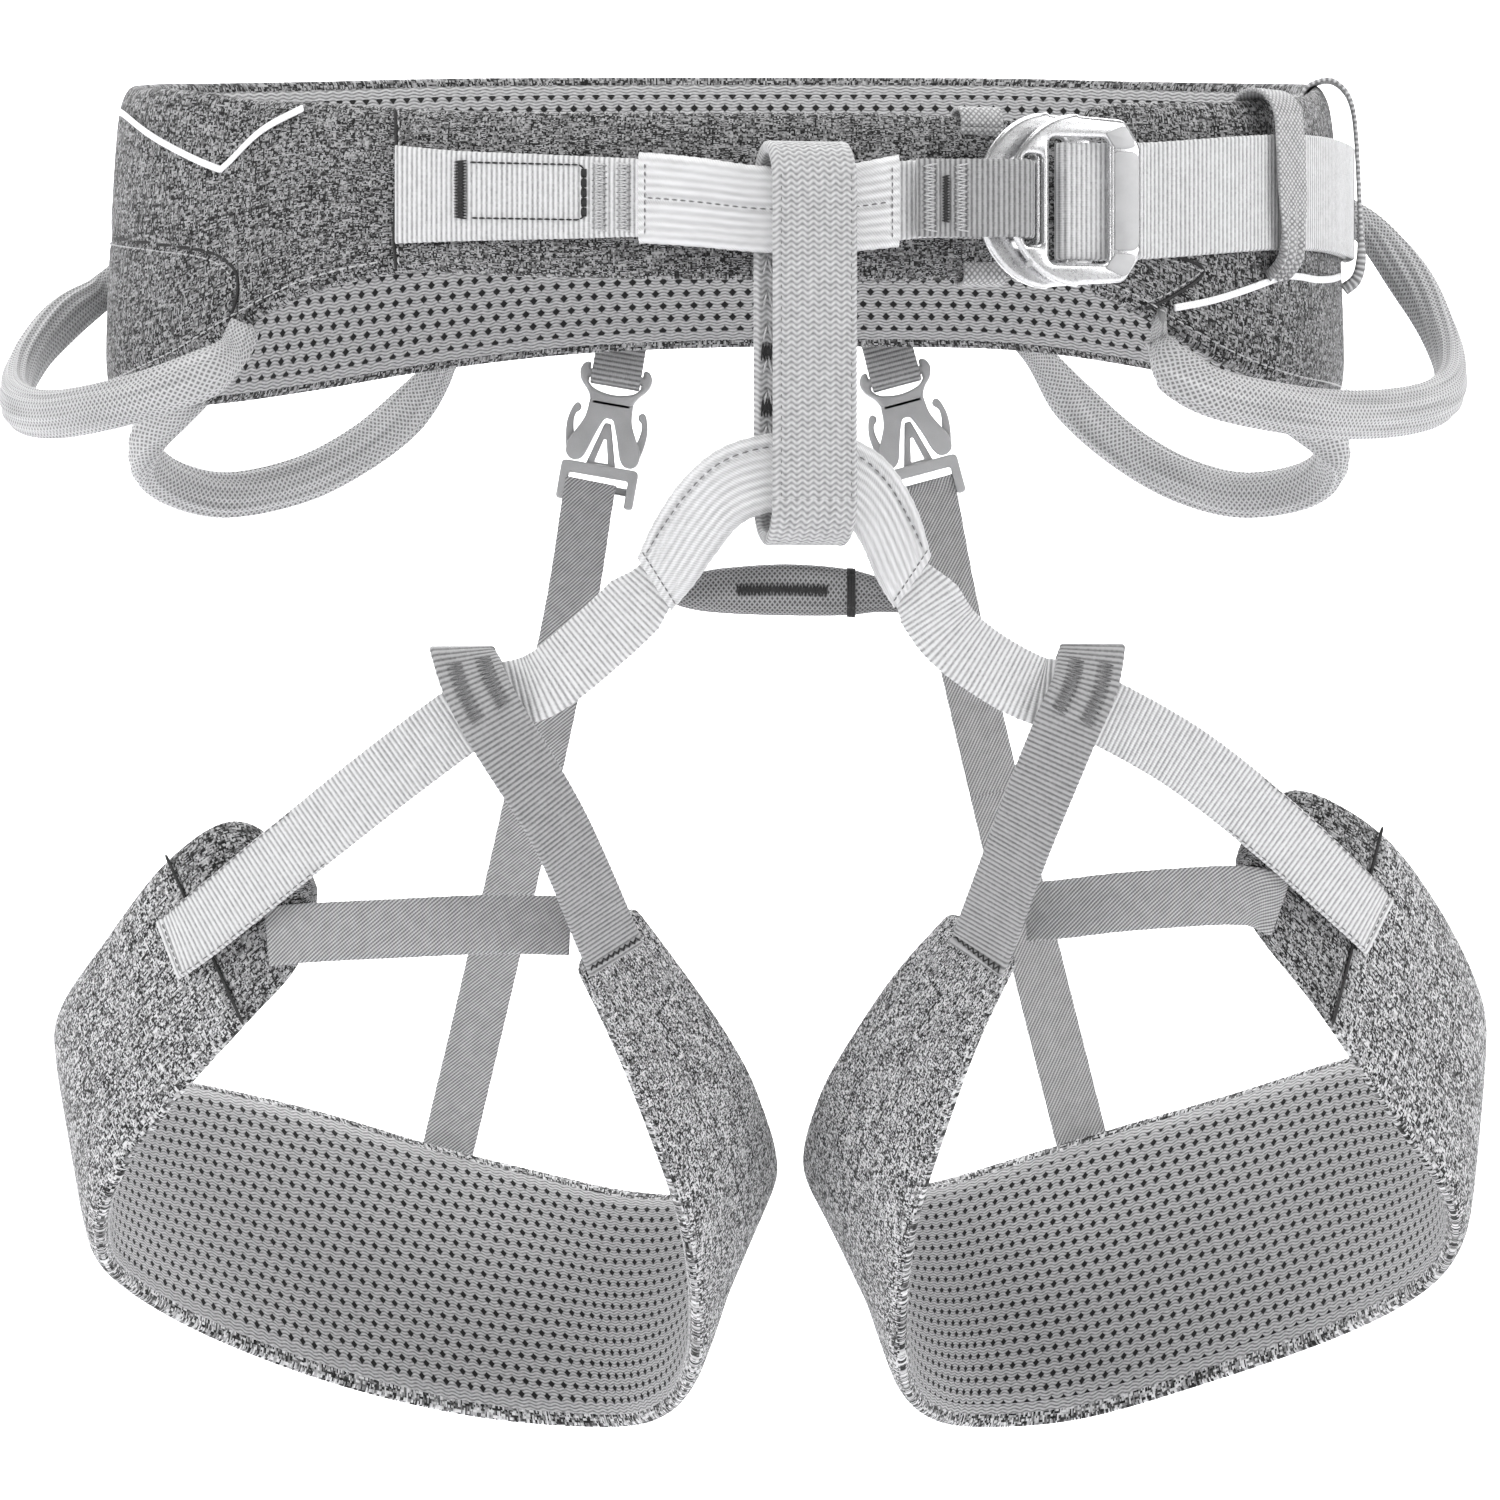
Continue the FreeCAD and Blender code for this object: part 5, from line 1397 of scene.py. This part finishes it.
def make_bridge():
    """The webbing arch, its sleeve and the elastic tube between its feet."""
    outer = smooth([(x, y, z) for (x, z), y in zip(BRIDGE_OUTER, BRIDGE_DEPTH)])
    inner = smooth([(x, y, z) for (x, z), y in zip(BRIDGE_INNER, BRIDGE_DEPTH)])
    ribbon = edge_ribbon(outer, inner, RIB_STEP, (15, 0, -75))
    thing = strap_mesh("bridge_strap", ribbon, WEBBING_THICKNESS, cross_ribs(RIB_PITCH, 0.14), 7)
    dress(thing, "grey_webbing", "root", ["bridge_webbing"])
    make_sleeve("bridge_cover", ribbon, "bridge_sleeve", [6.4])
    link = tube_mesh("link_elastic", LINK_TUBE, LINK_HALF_SIZES, 0, 0, 32, 0.6)
    dress(link, "dark_braid", "root", ["link_tube"])
    line = smooth(LINK_TUBE)
    count = len(line)
    forward = np.tile((0.0, -1.0, 0.0), (count, 1))
    lengthwise = Ribbon(line, np.tile(UP, (count, 1)), forward, np.ones(count))
    middle, span = lengthwise.length() * 0.475, 11.5
    tack = ladder(lengthwise, middle - span, middle + span, -1.5, 1.5, 3.25, 0.42)
    band_at = lengthwise.length() * 0.72
    back = points_of((0, 1, 0))
    for k in range(5):
        turn = np.linspace(0, 2 * math.pi, 30)
        centre = lengthwise.at(band_at + 0.42 * k, 0, 0)
        tack.append([centre + UP * 6.2 * math.cos(a) + back * 3.15 * math.sin(a) for a in turn])
    dress(thread_mesh("link_stitching", tack, 0.26), "dark_thread_and_seam_shade", "root")


def make_leg_pad(side, leg):
    """One padded leg loop: cover, lining, seams and stitches."""
    body = f"{side}_leg"
    ribbon = edge_ribbon(smooth(leg["upper"]), smooth(leg["lower"]), 5.0, leg["middle"])
    pad = pad_mesh(f"{side}_leg_pad", ribbon, LEG_THICKNESS - 0.5, 0.4)
    puff(pad, len(ribbon.along) - 1, 7, 0.35)
    subdivide(pad, 2)
    seam_at = float(ribbon.along[np.argmin(np.abs(ribbon.centre[:12, 0] - leg["seam_x"]))])
    reach = float(np.interp(seam_at, ribbon.along, ribbon.half))
    seam = ribbon.at(np.full(60, seam_at), np.linspace(reach + 0.5, -reach - 0.5, 60), 0.45)
    groove(pad, [seam], 1.2, 1.1)
    dress(pad, "leg_heather", body, [f"{side}_leg_outer_fabric", f"{side}_leg_foam"])
    # The tongue under the webbing is painted darker: painted shade.
    paint_tongue_shade(pad, seam_at * MM)
    lining = lining_mesh(f"{side}_leg_lining", ribbon, LEG_THICKNESS - 0.5, 0.35, 2.4)
    dress(lining, "leg_mesh_lining", body, [f"{side}_leg_mesh_lining"])
    declare_sheet(ribbon)
    # A near-black tube in the seam groove: painted shade of the seam's crease.
    folds = [seam - points_of((0, -0.35, 0))]
    dress(thread_mesh(f"{side}_leg_seam_shade", folds, 0.5, 6), "dark_thread_and_seam_shade", body)
    dashes = running(ribbon, [(seam_at + 2.4, reach - 2), (seam_at + 2.4, -reach + 2)], 0.5, 2.6, 0.66)
    dress(thread_mesh(f"{side}_leg_stitching", dashes, 0.2), "pale_thread", body)
    return ribbon


def paint_tongue_shade(pad, before):
    """Gives the pad's faces before that distance along it a darker heather: painted shade beneath the
    leg webbing.
    """
    pad.data.materials.append(LOOKS["shaded_tongue_heather"])
    mesh = pad.data
    uv = np.zeros(len(mesh.loops) * 2)
    mesh.uv_layers["UVMap"].data.foreach_get("uv", uv)
    starts = np.array([p.loop_start for p in mesh.polygons])
    along = uv.reshape(-1, 2)[starts, 0]
    mesh.polygons.foreach_set("material_index", (along < before).astype(np.int32))
    mesh.update()


def make_leg_straps(side, leg):
    """The webbings and elastics of one leg loop."""
    body = f"{side}_leg"
    route = [leg["under_sleeve"]] + leg["webbing"]
    webbing_line = strap_ribbon(route, [(0, -1, 0)] + leg["webbing_faces"], 17.5, RIB_STEP)
    webbing_line.half *= np.interp(webbing_line.along, (0, 3, 9), (0.7, 0.78, 1))
    ribs = cross_ribs(RIB_PITCH, 0.15)
    strap = strap_mesh(f"{side}_leg_strap", webbing_line, WEBBING_THICKNESS, ribs)
    dress(strap, "grey_webbing", None, [f"{side}_leg_webbing"])
    top = points_of(leg["webbing"][0]) * MM
    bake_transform(strap)
    wrap_line = strap_ribbon(leg["inner"], INNER_FACES, 17.0, RIB_STEP)
    wrap = strap_mesh(f"{side}_inner_strap", wrap_line, WEBBING_THICKNESS, cross_ribs(RIB_PITCH, 0.14))
    dress(wrap, "mid_webbing", body, [f"{side}_inner_webbing"])
    crown = float(wrap_line.along[np.argmax(wrap_line.centre[:, 2])])
    proud = WEBBING_THICKNESS / 2 + 0.15
    tacks = []
    for low, high in ((-6.0, -2.2), (1.6, 5.4)):
        tacks += ladder(wrap_line, crown + 5.5, crown + 21, low, high, proud, 0.62)
    dress(thread_mesh(f"{side}_wrap_tacks", tacks, 0.24), "grey_thread", body)
    end = wrap_line.length()
    cuff = zigzag(wrap_line, end - 3.0, end - 1.6, -7.6, 7.6, proud, 0.8)
    dress(thread_mesh(f"{side}_inner_end", cuff, 0.26), "dark_thread_and_seam_shade", body)
    end = webbing_line.length()
    ends = running(webbing_line, [(end - 2, -7.2), (end - 2, 7.2)], proud, 2.0, 0.7)
    for across in (-8.1, 8.1):
        ends += running(webbing_line, [(end - 52, across), (end - 1, across)], proud, 2.4, 0.6)
    dress(thread_mesh(f"{side}_strap_end", ends, 0.2), "grey_thread", body)
    forward = [(0, -1, 0)] * len(leg["elastic"])
    elastic_line = strap_ribbon(leg["elastic"], forward, 15.5, 1.0)
    elastic = strap_mesh(f"{side}_front_elastic", elastic_line, 1.4, None, 9, (1.2, 0.08))
    dress(elastic, "grey_elastic", body, [f"{side}_thigh_elastic"])
    make_drop_strap(side, leg)


def make_drop_strap(side, leg):
    """The rear strap, in two pieces: an upper piece on the root and a lower piece that is not attached
    to a body.
    """
    route = [leg["above_strap"]] + leg["drop"]
    line = strap_ribbon(route, [(0, 1, 0)] * len(route), 14.5, 1.0)
    split = line.length() * 0.45
    upper = strap_mesh(f"{side}_drop_upper", line.part(0, split + 0.5), 1.4, None, 9, (1.2, 0.08))
    dress(upper, "grey_elastic", "root", [f"{side}_drop_strap"])
    joint = next(j for j in frame["joints"] if j["name"] == f"{side}_buckle_release")
    anchor = line.at([split], [0], [0])[0] * MM
    axis = points_of(joint["axis"])
    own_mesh(upper)
    rest = line.part(split - 0.5, line.length())
    lower = strap_mesh(f"{side}_drop_lower", rest, 1.4, None, 9, (1.2, 0.08))
    dress(lower, "grey_elastic", None, [f"{side}_drop_strap"])
    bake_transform(lower)


# Rear buckles -----------------------------------------------------------------------------------

REAR_BUCKLES = {"left": ((-30.2, 117.6, -29), 10.0), "right": ((46.4, 116.2, -29), -15.0)}
SHELL_THICKNESS, CHEEK_THICKNESS, LATCH_THICKNESS = 6.4, 1.5, 2.8
YOKE_HALF = [
    (7.4, -1.7), (7.5, -0.3), (8.3, 0.1), (9.5, -0.7), (10.2, -2.8), (9.4, -5.4), (7.2, -7.9),
    (6.1, -10.2), (6.0, -12),
]
CHEEK_HALF = [
    (6.1, -10), (6.6, -15), (8.4, -19), (10.1, -22.4), (10.3, -25.6), (8.9, -27.3), (6.6, -27.3),
    (4.9, -25.4), (3.2, -20), (1.5, -15.6), (0.6, -14.7),
]
CRESCENT_HALF = [(7.3, -4.1), (7.2, -5.4), (5.6, -6.9), (3.0, -7.7), (0.8, -8.0)]
TAB_PATH = [
    (-2.6, 14), (-2.1, 9.5), (1.8, 5), (4.4, 1), (4.4, -2.8), (3.2, -4.9), (0.8, -5.2),
    (-0.8, -5.2), (-3.2, -4.9), (-4.4, -2.8), (-4.4, 1), (-4.4, 5), (-4.4, 14),
]
TAB_BAR, TAB_UPRIGHT = -2.8, 4
LATCH_ARM = [
    (6.6, -27.2), (8.4, -27.4), (9.8, -26.2), (11.0, -22), (11.4, -17), (10.4, -12.8), (9.2, -11.6),
    (8.1, -12.4), (8.2, -13.6), (9.3, -14.8), (9.5, -17), (8.9, -20), (7.6, -23.0), (6.4, -25.4),
]


def two_sided(half):
    """A closed smooth outline from its half on the +X side, top first."""
    right = [tuple(p) for p in smooth(half, 4)]
    return right + [(-x, z) for x, z in reversed(right)]


def buckle_frame_of(side):
    """A function that puts points of the rear buckle's own frame in place."""
    centre, lean = REAR_BUCKLES[side]
    c, s = math.cos(math.radians(lean)), math.sin(math.radians(lean))

    def place(points):
        x, y, z = points_of(points).T
        return np.column_stack([x * c + z * s, y, -x * s + z * c]) + centre
    return place


def joined(label, parts):
    """One object from several parts."""
    bpy.ops.object.select_all(action="DESELECT")
    for part in parts:
        part.select_set(True)
    bpy.context.view_layer.objects.active = parts[0]
    bpy.ops.object.join()
    parts[0].name = label
    return parts[0]


def make_rear_buckle(side):
    """Yoke and cheeks, frame with its guide, two latch arms, and the webbing tab."""
    place = buckle_frame_of(side)
    aside = (SHELL_THICKNESS - CHEEK_THICKNESS) / 2
    crescent = two_sided(CRESCENT_HALF)
    parts = [flat_piece(f"{side}_yoke", [two_sided(YOKE_HALF), crescent], SHELL_THICKNESS, 0.9, place)]
    for sign in (-1, 1):
        parts.append(flat_piece(f"{side}_cheek", [two_sided(CHEEK_HALF)], CHEEK_THICKNESS, 0.45,
                                lambda p: place(p + (0, sign * aside, 0))))
    nodes = [f"{side}_buckle_{k}" for k in ("yoke", "front_cheek", "rear_cheek")]
    dress(joined(f"{side}_release_shell", parts), "grey_plastic", "root", nodes)
    posts = rounded([
        (10.9, -27.9, 1.5), (10.9, -39, 1.2), (8.3, -39, 1.0), (8.3, -31.2, 0.8),
        (-8.3, -31.2, 0.8), (-8.3, -39, 1.0), (-10.9, -39, 1.2), (-10.9, -27.9, 1.5),
    ], 1)
    guide = rounded([(0.9, -16, 0.8), (4.3, -28.4, 0.4), (-4.3, -28.4, 0.4), (-0.9, -16, 0.8)], 0.5)
    hole = rounded([(0.35, -20.6), (1.9, -27.2), (-1.9, -27.2), (-0.35, -20.6)], 0.3)
    lock = rounded([(8.6, -33.2), (8.6, -35.4), (-8.6, -35.4), (-8.6, -33.2)], 0.3)
    parts = [
        flat_piece(f"{side}_posts", [posts], SHELL_THICKNESS, 0.7, place),
        flat_piece(f"{side}_guide", [guide, hole], LATCH_THICKNESS, 0.4, place),
        flat_piece(f"{side}_lock", [lock], 2.4, 0.6, lambda p: place(p + (0, 0.5, 0))),
    ]
    dress(joined(f"{side}_release_frame", parts), "grey_plastic", f"{side}_release",
          [f"{side}_buckle_frame"])
    for hand, sign in (("a", -1), ("b", 1)):
        arm_line = [(sign * x, z) for x, z in smooth_ring(LATCH_ARM, 4)]
        arm = flat_piece(f"{side}_arm_{hand}", [arm_line], LATCH_THICKNESS, 0.5, place)
        dress(arm, "grey_plastic", f"{side}_latch_{hand}", [f"{side}_latch_{hand}"])
    faces = []
    for k, (y, z) in enumerate(TAB_PATH):
        look = (0, 1, 0) if k < TAB_UPRIGHT else (0, y, min(z - TAB_BAR, 0))
        faces.append(place([look])[0] - place([(0, 0, 0)])[0])
    ribbon = strap_ribbon(place([(0, y, z) for y, z in TAB_PATH]), faces, 14.0, 0.5)
    tab = strap_mesh(f"{side}_tab", ribbon, 1.2, cross_ribs(1.9, 0.2), 9, (1.9, 0.1))
    dress(tab, "mid_webbing", "root", [f"{side}_rear_tab"])


GEAR_LOOPS = {
    "front_left": [
        (-127, -77, -33), (-134, -83, -39), (-146, -82, -43.5), (-160.5, -72, -47),
        (-176, -53, -48.5), (-185.5, -34, -45.5), (-187.5, -17, -39.5), (-184, -2, -30),
        (-177, 12, -20.5), (-168, 24, -13),
    ],
    "rear_left": [
        (-150, 62, -44), (-158, 67, -50), (-159, 74, -57), (-151, 82, -63), (-137, 90, -65.6),
        (-118, 99, -61.2), (-102, 106, -52.6), (-89, 110, -42), (-80, 108, -31),
    ],
    "front_right": [
        (112, -90, -31), (115, -97, -38), (124, -99, -44), (139, -93, -47.5), (158, -78, -49.4),
        (177, -55, -47.7), (189, -36, -43), (192, -19, -35), (189, -4, -22.5), (182, 6, -9),
        (173, 12, 3),
    ],
    "rear_right": [
        (156, 60, -46), (166, 65, -52), (165, 73, -59), (157, 81, -64), (142, 90, -65.6),
        (126, 99, -61), (111, 106, -52), (97.5, 110, -40), (88, 107, -28),
    ],
}
GEAR_HALF_SIZE, GEAR_END_SIZE, GEAR_SEWN_SIZE = (6.2, 4.2), (4.6, 2.6), (4.0, 1.0)
GEAR_RISE, GEAR_SEWN_PROUD = 7.0, 0.8


def sewn_end(end):
    """Where a gear loop's end meets the belt: a little above it, on the cover."""
    x, y, z = end
    angle = math.degrees(math.atan2(x / BELT_HALF_WIDTH, -y / BELT_HALF_DEPTH))
    if x >= 0 and angle >= 40:
        angle -= 360
    return tuple(belt_point(angle, z + GEAR_RISE, GEAR_SEWN_PROUD))


def make_gear_loop(name, points):
    """One braided gear loop, with soft folds along it."""
    sizes = [GEAR_SEWN_SIZE, GEAR_END_SIZE]
    sizes += [GEAR_HALF_SIZE] * (len(points) - 2) + [GEAR_END_SIZE, GEAR_SEWN_SIZE]
    route = [sewn_end(points[0])] + points + [sewn_end(points[-1])]
    loop = tube_mesh(f"{name}_gear_cord", route, sizes, 11, 0.05, 88, 1.0)
    nodes = [f"{name}_gear_sheath", f"{name}_gear_core"]
    dress(loop, "gear_sheath", f"{name}_gear_loop", nodes)


# The studio -------------------------------------------------------------------------------------

def make_camera():
    """The camera, level and in front."""
    data = bpy.data.cameras.new("camera")
    data.lens, data.sensor_width = CAMERA_LENS, CAMERA_SENSOR
    camera = bpy.data.objects.new("camera", data)
    camera.location = CAMERA_PLACE
    camera.rotation_euler = (math.radians(90), 0, 0)
    bpy.context.scene.collection.objects.link(camera)
    bpy.context.scene.camera = camera


def make_light(label, place, target, size, power):
    """A soft square light at a place, in metres, turned to a target."""
    data = bpy.data.lights.new(label, "AREA")
    data.shape, data.size, data.energy = "SQUARE", size, power
    light = bpy.data.objects.new(label, data)
    light.location = place
    aim = unit(points_of(target) - points_of(place))
    light.rotation_euler = Vector(aim).to_track_quat("-Z", "Y").to_euler()
    bpy.context.scene.collection.objects.link(light)


BACKDROP_HALF_WIDTH, BACKDROP_FRONT, BACKDROP_BACK, BACKDROP_TOP = 6000, -5000, 2600, 5000
BACKDROP_BEND, BACKDROP_STEPS, FLOOR_HEIGHT = 900, 12, -420
SKY_STRENGTH = 0.25
OBJECT_MIDDLE = (0.0, 0.0, -0.13)
# Name, place and target in metres, size in metres, power in watts.
LIGHTS = (
    ("left_light", (-2.3, -1.3, 0.9), OBJECT_MIDDLE, 1.3, 44),
    ("right_light", (2.3, -1.3, 0.8), OBJECT_MIDDLE, 1.3, 37),
    ("top_light", (0.1, -0.5, 2.2), OBJECT_MIDDLE, 1.5, 30),
    ("front_light", (0.5, -3.4, 0.5), OBJECT_MIDDLE, 1.0, 9),
    ("wash", (0.0, 1.7, 1.7), (0.0, 2.6, 0.2), 2.4, 130),
)


def make_studio():
    """A pale floor that runs up into a backdrop, a pale sky, and large soft lights."""
    start = BACKDROP_BACK - BACKDROP_BEND
    profile = [(BACKDROP_FRONT, FLOOR_HEIGHT), (start, FLOOR_HEIGHT)]
    for k in range(1, BACKDROP_STEPS + 1):
        turn = math.pi / 2 * k / BACKDROP_STEPS
        rise = FLOOR_HEIGHT + BACKDROP_BEND - BACKDROP_BEND * math.cos(turn)
        profile.append((start + BACKDROP_BEND * math.sin(turn), rise))
    profile.append((BACKDROP_BACK, BACKDROP_TOP))
    vertices = [(x, y, z) for y, z in profile for x in (-BACKDROP_HALF_WIDTH, BACKDROP_HALF_WIDTH)]
    faces = [(2 * k, 2 * k + 1, 2 * k + 3, 2 * k + 2) for k in range(len(profile) - 1)]
    backdrop = new_object("backdrop", vertices, faces)
    backdrop.data.materials.append(studio_white("backdrop_white"))
    world = bpy.data.worlds.new("sky")
    bpy.context.scene.world = world
    world.use_nodes = True
    background = world.node_tree.nodes["Background"].inputs
    background["Color"].default_value = (1, 1, 1, 1)
    background["Strength"].default_value = SKY_STRENGTH
    for label, place, target, size, power in LIGHTS:
        make_light(label, place, target, size, power)
    bpy.context.scene.view_settings.view_transform = "Standard"


make_camera()
make_studio()
make_belt()
make_keepers()
make_waist_webbing()
make_buckle_strap()
make_adjust_webbing()
make_waist_buckle()
make_belay_loop()
make_bridge()
for side in SIDES:
    make_leg_pad(side, LEGS[side])
    make_leg_straps(side, LEGS[side])
    make_rear_buckle(side)
for name, points in GEAR_LOOPS.items():
    make_gear_loop(name, points)
